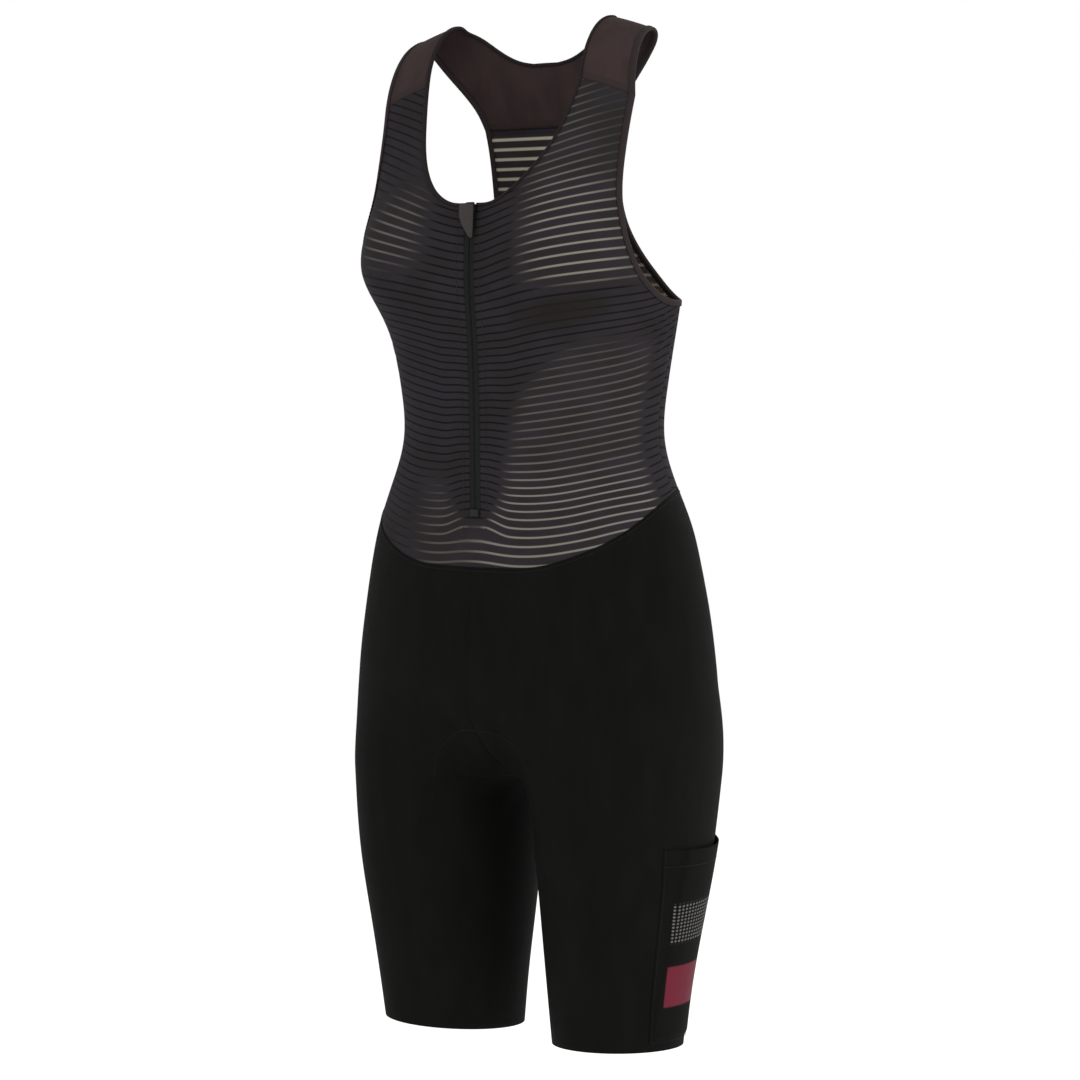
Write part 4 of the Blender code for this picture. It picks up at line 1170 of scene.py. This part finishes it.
@dataclass
class Bib:
    """The striped front and back and the yoke with its two straps."""

    form: TrunkForm
    stripes: Stripes
    zip_half: float = 0.0050
    neck_bottom: float = -0.152
    zip_foot: float = -0.405
    side_turn: float = 96.0
    armpit: float = -0.2297
    side_at_zip_foot: float = -0.368
    front_rows: tuple[int, int, int] = (3, 13, 10)
    front_columns: int = 11
    armhole_cells: int = 16
    back_rows: tuple[int, int] = (9, 12)
    back_columns: int = 21
    crowding: float = 0.35
    yoke_rows: tuple[int, int, int] = (7, 10, 3)
    yoke_columns: int = 6
    yoke_crowding: float = 1.4
    times: int = 6
    folds: float = 2.6
    fold_height: float = 0.0007

    def _front_chart(self) -> Array:
        """The left half of the front in (turn, height): rows up from the waist, columns from the zip."""
        below, beside, above = self.front_rows
        zip_turn = self.form.turn_of(self.zip_half + SEAM_GAP, self.neck_bottom, -1)
        waist = waist_height(zip_turn) + SEAM_GAP / 2
        strap_inner = self.form.strap_seam(self.form.strap_inner)
        neck = np.concatenate([[[zip_turn, self.neck_bottom]], NECKLINE, [strap_inner]])
        seam = [rising(zip_turn, waist, self.zip_foot, below)]
        seam.append(rising(zip_turn, self.zip_foot, self.neck_bottom, beside))
        inner = np.concatenate([*seam, along(neck, above + 1)])
        strap_end = self.form.strap_seam(self.form.strap_outer_seam)
        hole = np.concatenate([[[self.side_turn, self.armpit]], ARMHOLE_FRONT, [strap_end]])
        side_waist = waist_height(self.side_turn) + SEAM_GAP / 2
        side = [rising(self.side_turn, side_waist, self.side_at_zip_foot, below)]
        cells = beside + above - self.armhole_cells
        side.append(rising(self.side_turn, self.side_at_zip_foot, self.armpit, cells))
        outer = np.concatenate([*side, along(hole, self.armhole_cells + 1)])
        even = np.linspace(0, 1, self.front_columns)
        share = even + self.crowding * np.sin(np.pi * even) / np.pi
        chart = settled(ruled(inner, outer, share), below + 3)
        across = self.form.strap_inner + (self.form.strap_outer_seam - self.form.strap_inner) * share
        chart[-1] = self.form.strap_seam(across)
        armpit = beside + below + above - self.armhole_cells
        return refined(relaxed(chart), self.times, (armpit, below + beside))

    def _back_chart(self) -> Array:
        """The back in (turn, height): rows up from the waist, columns from the wearer's left."""
        side, armhole = self.back_rows
        hole = np.stack([self.form.turn_of(*ARMHOLE_BACK.T, 1), ARMHOLE_BACK[:, 1]], axis=-1)
        foot = self.form.yoke_foot - SEAM_GAP
        end = [self.form.turn_of(YOKE_ARMHOLE[-1, 0], foot, 1), foot]
        hole = np.concatenate([[[self.side_turn, self.armpit]], hole, [end]])
        waist = waist_height(self.side_turn) + SEAM_GAP / 2
        left = np.concatenate([rising(self.side_turn, waist, self.armpit, side), along(hole, armhole + 1)])
        right = left * (-1, 1) + (360, 0)
        even = np.linspace(0, 1, self.back_columns)
        share = even - 2 * self.crowding * np.sin(2 * np.pi * even) / (2 * np.pi)
        chart = settled(ruled(left, right, share), side)
        across = (1 - 2 * share) * YOKE_ARMHOLE[-1, 0]
        chart[-1, :, 0] = self.form.turn_of(across, foot, 1) % 360
        return refined(relaxed(chart), self.times, (side,))

    def _yoke_chart(self) -> Array:
        """The left half of the yoke in (across, over): rows from the strap seam over to the foot."""
        strap, neck, centre = self.yoke_rows
        form = self.form
        over_strap = np.linspace(-1, 0, strap + 1)[:-1]
        outer_strap = form.strap_outer + (form.strap_outer - form.strap_outer_seam) * over_strap

        def behind(edge: Array, top: float, count: int) -> Array:
            """Places down an edge behind the top of the shoulder."""
            line = np.concatenate([[[top, form.ridge(top)]], edge])
            heights = along(line, count, (1, 1), self.yoke_crowding)
            return np.stack([heights[:, 0], form.over_of(*heights.T)], axis=-1)

        neck_edge = behind(BACK_NECK, form.strap_inner, neck + 1)
        over_centre = np.linspace(neck_edge[-1, 1], 1, centre + 1)[1:]
        over_neck = np.stack([np.full(strap, form.strap_inner), over_strap], axis=-1)
        down_centre = np.stack([np.full(centre, neck_edge[-1, 0]), over_centre], axis=-1)
        inner = np.concatenate([over_neck, neck_edge, down_centre])
        back_edge = behind(YOKE_ARMHOLE, form.strap_outer, neck + centre + 1)
        outer = np.concatenate([np.stack([outer_strap, over_strap], axis=-1), back_edge])
        return ruled(inner, outer, np.linspace(0, 1, self.yoke_columns))

    def front(self) -> Edges:
        """Builds the front, and returns its cut edges on the wearer's left."""
        chart = self._front_chart()
        turn, height = np.radians(chart[..., 0]), chart[..., 1]
        left = self.form.trunk(turn, height)
        out = outward(self.form.trunk, turn, height, (0.01, 0.001))
        zip_rows = sum(self.front_rows[:2]) * self.times + 1
        left[:zip_rows, 0, 0] = self.zip_half + SEAM_GAP
        points, outs = doubled(left), doubled(out)
        turns, heights = doubled(chart[..., 0], -1), doubled(height, 1)
        points = points + self._creases(turns, heights)[..., None] * outs
        kept = np.ones((points.shape[0] - 1, points.shape[1] - 1), bool)
        kept[self.front_rows[0] * self.times :, chart.shape[1] - 1] = False
        look = self.stripes.front(turns, heights)
        cloth = Cloth(points, outs, cloth_place(points), BIB_CLOTH, look, kept=kept)
        made = cloth.shell("front_bib_cloth", Finish.MESH)
        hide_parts("front_bib")
        half = points.shape[1] // 2
        hole = slice(-self.armhole_cells * self.times - 1, None)
        neck = slice(sum(self.front_rows[:2]) * self.times, None)
        return Edges((points[neck, half], outs[neck, half]), (points[hole, -1], outs[hole, -1]))

    def _creases(self, turns: Array, heights: Array) -> Array:
        """Small folds that run down and forward from the foot of each armhole, in metres out."""
        down = self.armpit - 0.0023 - heights
        ray = (self.side_turn - np.abs(turns)) / (6 + 330 * np.maximum(down, 0))
        near = step_up(-0.004, 0.010, down) * (1 - step_up(0.020, 0.062, down))
        folds = np.sin(2 * np.pi * self.folds * ray) * (1 - step_up(1.2, 2.2, ray))
        return self.fold_height * near * folds

    def back(self) -> Edges:
        """Builds the back, and returns its cut edges on the wearer's left, down the armhole."""
        chart = self._back_chart()
        turn, height = np.radians(chart[..., 0]), chart[..., 1]
        points = self.form.trunk(turn, height)
        outs = outward(self.form.trunk, turn, height, (0.01, 0.001))
        # painted light pales the back's sheer lines outside; the inner face takes painted light from
        # behind, most towards the side seams
        look = self.stripes.back(chart[..., 0], height, 0.35, 0.0)
        inside = self.stripes.back(chart[..., 0], height, 1.12, 1.7)
        cloth = Cloth(points, outs, cloth_place(points), BIB_CLOTH, look, inside)
        made = cloth.shell("back_bib_cloth", Finish.MESH)
        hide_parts("back_bib")
        hole = slice(None, -self.back_rows[1] * self.times - 1, -1)
        return Edges(None, (points[hole, 0], outs[hole, 0]))

    def yoke(self) -> Edges:
        """Builds the yoke, and returns its cut edges on the wearer's left, back over the shoulder."""
        chart = refined(self._yoke_chart(), self.times, (sum(self.yoke_rows[:2]),))
        share = np.linspace(0, 1, self.times + 1)[None, :-1, None]
        chart = np.concatenate([share * chart[:, :1] * (1, 0) + chart[:, :1] * (0, 1), chart], axis=1)
        across, over = chart[..., 0], chart[..., 1]
        left = self.form.shoulder(across, over)
        out = outward(self.form.shoulder, across, over, (0.001, 0.01))
        points, outs = doubled(left, shared=1), doubled(out, shared=1)
        middle, reach = left.shape[1] - 1, self.times
        neck_end = sum(self.yoke_rows[:2]) * self.times
        kept = np.ones((points.shape[0] - 1, points.shape[1] - 1), bool)
        kept[:neck_end, middle - reach : middle + reach] = False
        place = cloth_place(points)
        foot = place[-1:, :, 1] - place[..., 1]
        look = np.stack([np.minimum(place[..., 1], foot), np.zeros_like(foot)], axis=-1)
        made = Cloth(points, outs, place, YOKE_CLOTH, look, kept=kept).shell("yoke_cloth", Finish.YOKE)
        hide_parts("yoke")
        down, across_neck = slice(1, neck_end + 1), slice(middle + reach - 1, middle - 1, -1)
        grids = (points, outs)
        neck = [np.concatenate([grid[down, middle + reach], grid[neck_end, across_neck]]) for grid in grids]
        return Edges(tuple(neck), (points[1:-1, -1], outs[1:-1, -1]))


@dataclass
class Bindings:
    """Folded elastic over the cut edges: a U section open towards the cloth, with a row of stitches."""

    neck_cover: float = 0.0020  # how far it reaches in from the edge
    armhole_cover: float = 0.0044
    beyond: float = 0.0010  # how far its fold stands past the edge, and out from the cloth's inner face
    outer: float = 0.0022  # how far it stands out from the cloth's inner face
    wall: float = 0.0007
    stitch_from_lip: float = 0.0010

    def section(self, cover: float) -> Array:
        """The U as distances into the cloth and out from its inner face, round its outside and back."""
        middle, half = (self.outer - self.beyond) / 2, (self.outer + self.beyond) / 2
        angle = np.linspace(np.pi / 2, 3 * np.pi / 2, 9)
        arcs = []
        for reach in (half, half - self.wall):
            bend = reach * np.stack([np.cos(angle), np.sin(angle)], axis=-1) + (half - self.beyond, middle)
            lip = cover - 0.0003 * (reach == half)
            ends = np.array([[lip, middle + reach], [lip, middle - reach]])
            arcs.append(np.concatenate([ends[:1], bend, ends[1:]]))
        return np.concatenate([arcs[0], arcs[1][::-1]])

    def carry(
        self,
        name: str,
        edge: Array,
        outs: Array,
        cover: float,
        closed: bool,
        flip: float,
        finish: Finish = Finish.ELASTIC,
    ) -> None:
        """One binding along an edge, with its stitches.

        Args:
            name: the binding's name, also its node's.
            edge: points along the cut edge on the inner face of the cloth.
            outs: the cloth's outward directions there.
            cover: how far the binding reaches in from the edge.
            closed: whether the edge is a ring.
            flip: 1 where the cloth lies to the side of cross(along, out), otherwise -1.
            finish: what it is made of.
        """
        made = strip(name + "_tape", edge, outs, finish, self.section(cover), closed, flip)
        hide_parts(name)
        width = max(2 * cover + self.outer + self.beyond - 0.0012, 0.0100)
        _, out, side = cord_frames(edge, outs, closed)
        row = edge + (cover - self.stitch_from_lip) * flip * side
        if closed:
            row, out = np.concatenate([row, row[:1]]), np.concatenate([out, out[:1]])
        STITCHES.rows(name + "_stitches", [(row, out)], Finish.THREAD_ELASTIC, self.outer)

    def build(self, front: Edges, yoke: Edges, back: Edges) -> None:
        """One round the neck from zip to zip, and one round each armhole."""
        neck = [np.concatenate([a, b]) for a, b in zip(front.neck, yoke.neck)]
        neck = [np.concatenate([part, part[-2::-1] * MIRROR]) for part in neck]
        self.carry("binding_neck", *neck, self.neck_cover, closed=False, flip=1, finish=Finish.NECK_ELASTIC)
        hole = [np.concatenate([a, b, c]) for a, b, c in zip(front.armhole, yoke.armhole, back.armhole)]
        self.carry("binding_armhole_left", *hole, self.armhole_cover, closed=True, flip=-1)
        mirrored = [part * MIRROR for part in hole]
        self.carry("binding_armhole_right", *mirrored, self.armhole_cover, closed=True, flip=1)


STITCHES = Stitches()
ZIP_STITCHES = Stitches(radius=0.00042)


@dataclass
class FrontZip:
    """A coil zip in the slot of the front: two ribbed tapes, and stitches beside them."""

    form: TrunkForm
    half: float = 0.0050
    foot: float = -0.405
    neck: float = -0.152
    cloth: float = 0.0011
    gap: float = 0.00001  # from the middle to each tape
    ridge: float = 0.0009
    ridge_at: float = 0.0016
    ridge_spread: float = 0.0010
    rib: float = 0.0014
    rib_depth: float = 0.00022
    clear_of_slider: tuple[float, float] = (0.0085, 0.0105)  # below the top, over which the coil appears
    clear_of_stop: tuple[float, float] = (0.0068, 0.0085)
    stitch_across: float = 0.0115
    stitch_foot: float = -0.416

    def place(self, across: Array, height: Array) -> tuple[Array, Array]:
        """Points on the cloth's inner face at distances across near the middle, and directions out."""
        across, height = np.broadcast_arrays(np.asarray(across, float), np.asarray(height, float))
        turn = across / 0.09
        for _ in range(5):  # each round brings the turn nearer to that of the distance
            turn = turn * across / self.form.trunk(turn, height)[..., 0]
        return self.form.trunk(turn, height), outward(self.form.trunk, turn, height, (0.01, 0.001))

    def tapes(self) -> None:
        """The two tapes, each with the ridge of its coil beside the middle and fine ribs across it."""
        count = int((self.neck - self.foot) / self.rib * 6)
        height = np.linspace(self.foot + 0.0003, self.neck, count)
        across = np.concatenate([np.linspace(self.gap, 0.0034, 12), np.linspace(0.0034, self.half, 5)[1:]])
        low, _ = self.place(across[None], height[:, None])
        coil = np.exp(-(((across - self.ridge_at) / self.ridge_spread) ** 2))
        ribs = 0.5 - 0.5 * np.cos(2 * np.pi * (height - self.foot) / self.rib)
        from_top, from_foot = self.neck - height, height - self.foot
        clear = step_up(*self.clear_of_slider, from_top) * step_up(*self.clear_of_stop, from_foot)
        clear = clear[:, None]
        rise = self.ridge * clear * coil + self.rib_depth * clear * ribs[:, None] * (0.35 + coil)
        rise = rise * np.minimum(1, (across - self.gap) / 0.0004) + self.cloth
        high = low - rise[..., None] * (0, 1, 0)
        place = low[..., [0, 2]]
        for side, flip in (("left", 1), ("right", MIRROR)):
            ends = [low * flip, high * flip]
            if side == "right":
                ends = [end[:, ::-1] for end in ends]
            made = shell_between(f"zip_tape_{side}_coil", *ends, Finish.TAPE, {"cloth": (place, place)})
            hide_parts(f"zip_tape_{side}")
            size = (0.0100, float(height[-1] - height[0]))
            area = (self.half - self.gap) * size[1] * 1.25

    def stitches(self) -> None:
        """Rows beside the zip from the neck down, joined below its foot by a stitched box."""
        height = np.linspace(self.stitch_foot, self.neck - 0.004, 160)
        across = np.linspace(-self.stitch_across, self.stitch_across, 40)
        paths = [self.place(side, height) for side in across[[0, -1]]]
        paths += [self.place(across, level) for level in (self.stitch_foot, self.foot)]
        ZIP_STITCHES.rows("zip_stitches", paths, Finish.THREAD_BIB, BIB_CLOTH)


@dataclass(frozen=True)
class Pull:
    """The zip's pull: a leaf-shaped rubber tab with rounded edges on a wire loop through the bridge."""

    pin_y: float = -0.0977136
    pin_z: float = -0.1524
    length: float = 0.0272
    top: float = 0.0004  # above the pin
    width: float = 0.0140
    tip: float = 0.0035
    thickness: float = 0.0014
    before_pin: float = 0.0024
    corner: float = 0.0016
    slim: float = 0.0012  # how much its straight side leans in
    leaf_from: float = 0.35  # of its length, down to which its slanted side is straight
    bend: float = 1.4
    ear: float = 0.0020  # half of the loop's width
    wire: float = 0.00050

    def tab(self) -> None:
        """The rubber tab."""
        run = np.sin(np.linspace(-np.pi / 2, np.pi / 2, 61)) / 2 + 0.5
        share = np.sin(np.linspace(-np.pi / 2, np.pi / 2, 31))
        near_ends = (np.clip(way / 0.06, 0, 1) for way in (run, 1 - run))
        cut = sum(self.corner * (1 - np.sqrt(np.clip(1 - (1 - way) ** 2, 0, 1))) for way in near_ends)
        left = self.width / 2 - self.slim * run**2 - cut
        leaf = np.clip((run - self.leaf_from) / (1 - self.leaf_from), 0, 1) ** self.bend
        right = -self.width / 2 + (self.width - self.tip) * leaf + cut
        x = (left + right)[:, None] / 2 + (left - right)[:, None] / 2 * share
        rounds = ((1 - np.abs(share) ** 6) * (1 - np.abs(2 * run - 1) ** 16)[:, None]) ** (1 / 3)
        half = self.thickness / 2 * np.clip(rounds, 0.06, 1)
        z = self.pin_z + self.top - (self.length + self.top) * run
        rows = np.stack(np.broadcast_arrays(x, self._middle(), z[:, None]), axis=-1)[::-1]
        half = half[::-1, :, None] * (0, 1, 0)
        maps = {"cloth": (rows[..., [0, 2]],) * 2}
        made = shell_between("pull_tab", rows + half, rows - half, Finish.RUBBER, maps, body="puller")
        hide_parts("zip_pull")

    def _middle(self) -> float:
        """Where the middle of the tab's thickness stands."""
        return self.pin_y - self.before_pin - self.thickness / 2

    def loop(self) -> None:
        """The wire loop, from one side of the tab over the pin to the other."""
        half = [
            (self.ear, self._middle(), self.pin_z - 0.0022),
            (self.ear, self.pin_y - 0.0008, self.pin_z - 0.0004),
            (self.ear - 0.0004, self.pin_y, self.pin_z),
        ]
        ends = np.array(half)
        corners = np.concatenate([ends * MIRROR, [(0, self.pin_y, self.pin_z)], ends[::-1]])
        path = smooth(np.arange(len(corners)), corners, np.linspace(0, len(corners) - 1, 49))
        angle = 2 * np.pi * np.arange(10) / 10
        section = self.wire * np.stack([np.cos(angle), np.sin(angle)], axis=-1)
        outs = np.broadcast_to((0.0, -0.3, 1.0), path.shape)
        strip("pull_loop", path, outs, Finish.ENAMEL, section, body="puller")


# ---------------------------------------------------------------- the shorts


@dataclass
class Shorts:
    """The shorts' two halves, with their small folds and the stitched pad, and the pocket."""

    form: LegForm
    hem: float = -0.8425
    hem_slant: float = 0.0049
    hem_high_at: float = 0.34
    rows: tuple[int, int, int, int] = (6, 6, 4, 7)
    columns: int = 29
    times: int = 6
    pocket_rows: int = 6
    pocket_columns: tuple[int, int] = (12, 20)
    pocket_times: int = 8
    pocket_mouth: float = -0.669
    pocket_dip: float = -0.005
    above_hem: float = 0.008
    pocket_clear: float = 0.0006
    pocket_fullness: float = 0.0022
    pocket_sides: float = 0.004  # over which it comes down to the leg at its sewn sides
    pad_reach: float = 0.17  # the stitched pad, as a share of the way round a leg and as heights
    pad_middle: float = -0.632
    pad_tall: float = 0.053
    pad_square: float = 2.6
    pad_relief: float = 0.0004
    seam_stitch: float = 0.0030
    folds: float = 9  # how fast the wave of the small folds round the crotch runs with the angle
    fold_height: float = 0.0005
    inner_leg: float = 0.45  # metres round a leg, for its share, beside the inner seam

    def _chart(self) -> Array:
        """The left half in (share, height): rows up from the hem."""
        to_hip, to_crotch, arch, to_hem = self.rows
        share = np.linspace(0, 1, self.columns)
        waist = waist_height(180 * share) - SEAM_GAP / 2
        fall = np.linspace(0, 1, to_hip + 1)[:-1, None]
        quarter = np.linspace(0, np.pi / 2, to_crotch + 1)[:-1]
        crotch, hip = self.form.crotch, self.form.hip_level
        rise = crotch + (hip - crotch) * (1 - np.sin(quarter))
        quarter = np.linspace(0, np.pi / 2, arch + 1)[:-1]
        parting = crotch - self.form.arch * (1 - np.cos(quarter))
        level = np.concatenate([rise, parting])[:, None] + np.zeros_like(share)
        hem = self.hem + self.hem_slant * np.cos(2 * np.pi * (share - self.hem_high_at))
        foot = crotch - self.form.arch
        lower = foot + (hem - foot) * np.linspace(0, 1, to_hem + 1)[:, None]
        height = np.concatenate([waist + fall * (hip - waist), level, lower])
        return np.stack([np.broadcast_to(share, height.shape), height], axis=-1)[::-1]

    def _on(self, chart: Array) -> tuple[Array, Array]:
        """Points and outward directions of the form at (share, height)."""
        share, height = chart[..., 0], chart[..., 1]
        return self.form.half(share, height), outward(self.form.half, share, height, (0.002, 0.0005))

    def halves(self) -> None:
        """Both halves, each sewn down the inside of its leg."""
        chart = refined(self._chart(), self.times)
        inseam_end = (self.rows[2] + self.rows[3]) * self.times
        points, outs = self._on(chart)
        points[inseam_end:, [0, -1], 0] = 0
        outs[inseam_end:, [0, -1], 0] = 0
        outs = unit(outs)
        relief = self._relief(chart[..., 0], chart[..., 1])[..., None]
        high = points + (SHORTS_CLOTH + relief) * outs
        for grid in (points, high):
            grid[..., 0] = np.maximum(grid[..., 0], 0)
        maps = {"cloth": (cloth_place(points),) * 2}
        for side, flip in (("left", 1), ("right", MIRROR)):
            ends = (points * flip, high * flip)
            options = {"tube_rows": inseam_end + 1, "mirrored": side == "right"}
            made = shell_between(f"shorts_{side}_cloth", *ends, Finish.SHORTS, maps, **options)
            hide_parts(f"shorts_{side}")

    def stitches(self) -> None:
        """The stitched outline of the pad, a superellipse, and the row below the waist seam."""
        angle = np.linspace(-0.1, np.pi / 2, 50)
        across, up = np.abs([np.cos(angle), np.sin(angle)]) ** (2 / self.pad_square)
        height = self.pad_middle + self.pad_tall * up * np.sign(angle)
        path = np.stack([self.pad_reach * across, height], axis=-1)
        share = np.linspace(0, 1, 200)
        top = np.stack([share, waist_height(180 * share) - SEAM_GAP / 2 - self.seam_stitch], axis=-1)
        paths = [self._on(chart) for chart in (path, path * (-1, 1) + (1, 0), top)]
        paths += [(spots * MIRROR, out * MIRROR) for spots, out in paths]
        STITCHES.rows("shorts_stitches", paths, Finish.THREAD_SHORTS, SHORTS_CLOTH + self.pad_relief / 2)

    def _relief(self, share: Array, height: Array) -> Array:
        """How far the cloth stands out over the pad, and in small folds round the crotch, in metres."""
        near = np.minimum(share, 1 - share)
        across, up = near / self.pad_reach, np.abs(height - self.pad_middle) / self.pad_tall
        out = (across**self.pad_square + up**self.pad_square) ** (1 / self.pad_square)
        pad = self.pad_relief * (1 - step_up(0.95, 1.03, out))
        pad = pad * step_up(self.pad_middle - 0.03, self.pad_middle + 0.01, height)
        below, beside = self.form.crotch - height, self.inner_leg * near
        ray = np.arctan2(below + 0.004, beside + 0.004)
        reach = np.hypot(below, beside)
        folds = np.sin(ray * self.folds) * step_up(0.014, 0.034, reach) * (1 - step_up(0.05, 0.13, reach))
        ray = np.degrees(ray)
        folds = folds * step_up(-40, 0, ray) * (1 - step_up(60, 85, ray)) * step_up(0.0, 0.05, near)
        return pad + self.fold_height * folds

    def pocket(self) -> None:
        """The pocket on the wearer's left thigh, open along its curved mouth."""
        first, last = self.pocket_columns
        patch = self._chart()[: self.pocket_rows + 1, first : last + 1].copy()
        patch[0, :, 1] += self.above_hem
        dip = self.pocket_dip * np.sin(np.linspace(0, np.pi, patch.shape[1]))
        patch[-1, :, 1] = self.pocket_mouth + dip
        patch = refined(patch, self.pocket_times)
        base, out = self._on(patch)
        low_corner = patch[0, 0, 1]
        up = np.clip((patch[..., 1] - low_corner) / (self.pocket_mouth - low_corner), 0, 1)
        share = np.linspace(0, 1, patch.shape[1])
        place = cloth_place(base)
        place = place - place[:1, :1]
        from_side = np.minimum(place[..., 0], place[:, -1:, 0] - place[..., 0])
        free = step_up(0, self.pocket_sides, np.minimum(from_side, place[..., 1]))
        fullness = self.pocket_fullness * np.sin(np.pi * share) * up**2
        low = base + (SHORTS_CLOTH + SEAM_GAP + self.pocket_clear * free + fullness)[..., None] * out
        look = np.stack(np.meshgrid(share, np.linspace(0, 1, len(patch))), axis=-1)
        thickness = POCKET_CLOTH * (0.35 + 0.65 * free)[..., None]
        made = Cloth(low, out, place, thickness, look).shell("pocket_left_cloth", Finish.POCKET)
        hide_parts("pocket_left")
        sides = tuple(np.concatenate([grid[::-1, 1], grid[0, 1:-1], grid[:, -2]]) for grid in (low, out))
        paths = [sides, (low[-4], out[-4])]
        STITCHES.rows("pocket_stitches", paths, Finish.THREAD_SHORTS, POCKET_CLOTH)


# ---------------------------------------------------------------- the studio


@dataclass
class Studio:
    """A white room: a pale floor, soft lights and the camera."""

    floor: float = -1.20
    floor_half: float = 6.0
    look_at: Colour = (0, 0, -0.42)  # where the lights point
    azimuth: float = math.radians(35.0465)
    distance: float = 2.514855
    camera_height: float = -0.2620336
    pitch: float = math.radians(3.787612)
    aside: float = 0.0015421
    lens: float = 100.28
    white: Colour = (1.0, 1.0, 1.0)

    def stand(self) -> None:
        """The floor, a wide pale sheet."""
        square = ((-1, -1), (1, -1), (1, 1), (-1, 1))
        corners = [(x * self.floor_half, y * self.floor_half, self.floor) for x, y in square]
        mesh = bpy.data.meshes.new("floor")
        mesh.from_pydata(corners, [], [(0, 1, 2, 3)])
        graph = Graph("studio floor", Roughness=0.9, Specular_IOR_Level=0.1)
        graph.shader.inputs["Base Color"].default_value = (*self.white, 1)
        mesh.materials.append(graph.material)
        made = bpy.data.objects.new("floor", mesh)
        bpy.context.scene.collection.objects.link(made)

    def light(self, name: str, spot: Colour, size: float, power: float) -> None:
        """A square soft light that looks at the middle of the object."""
        lamp = bpy.data.lights.new(name, "AREA")
        lamp.size, lamp.energy = size, power
        made = bpy.data.objects.new(name, lamp)
        made.location = spot
        way = Vector(self.look_at) - Vector(spot)
        made.rotation_euler = way.to_track_quat("-Z", "Y").to_euler()
        bpy.context.scene.collection.objects.link(made)

    def build(self) -> None:
        """The room, its lights and the camera, where the photograph was taken from."""
        self.stand()
        scene = bpy.context.scene
        world = bpy.data.worlds.new("white room")
        world.use_nodes = True
        background = world.node_tree.nodes["Background"].inputs
        background["Color"].default_value, background["Strength"].default_value = (*self.white, 1), 1.0
        scene.world = world
        scene.view_settings.view_transform = "Standard"
        self.light("key light", (2.9, -0.9, 0.9), 1.4, 34)
        self.light("left light", (-2.4, -1.8, 0.6), 1.6, 6)
        self.light("back light", (0.4, 2.6, 1.0), 1.6, 18)
        camera = bpy.data.cameras.new("camera")
        camera.sensor_width, camera.lens = 36.0, self.lens
        made = bpy.data.objects.new("camera", camera)
        turn, away = self.azimuth, self.distance
        x = self.aside * math.cos(turn) + away * math.sin(turn)
        y = self.aside * math.sin(turn) - away * math.cos(turn)
        made.location = (x, y, self.camera_height)
        made.rotation_euler = (math.pi / 2 - self.pitch, 0, turn)
        scene.collection.objects.link(made)
        scene.camera = made


def dress_hard_parts() -> None:
    """Gives the stop and the slider of the frame their finish."""
    for name in ("zip_stop", "zip_slider"):
        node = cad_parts[name]
        for slot in node.material_slots:
            slot.material = Finish.ENAMEL.material


def main() -> None:
    """Builds the dressed part and its studio."""
    logging.basicConfig(level=logging.INFO, format="%(message)s")
    trunk = TrunkForm()
    bib = Bib(trunk, Stripes())
    front, back, yoke = bib.front(), bib.back(), bib.yoke()
    Bindings().build(front, yoke, back)
    closure = FrontZip(trunk)
    closure.tapes()
    closure.stitches()
    pull = Pull()
    pull.tab()
    pull.loop()
    shorts = Shorts(LegForm(trunk))
    shorts.halves()
    shorts.stitches()
    shorts.pocket()
    dress_hard_parts()
    Studio().build()


if __name__ == "__main__":
    main()
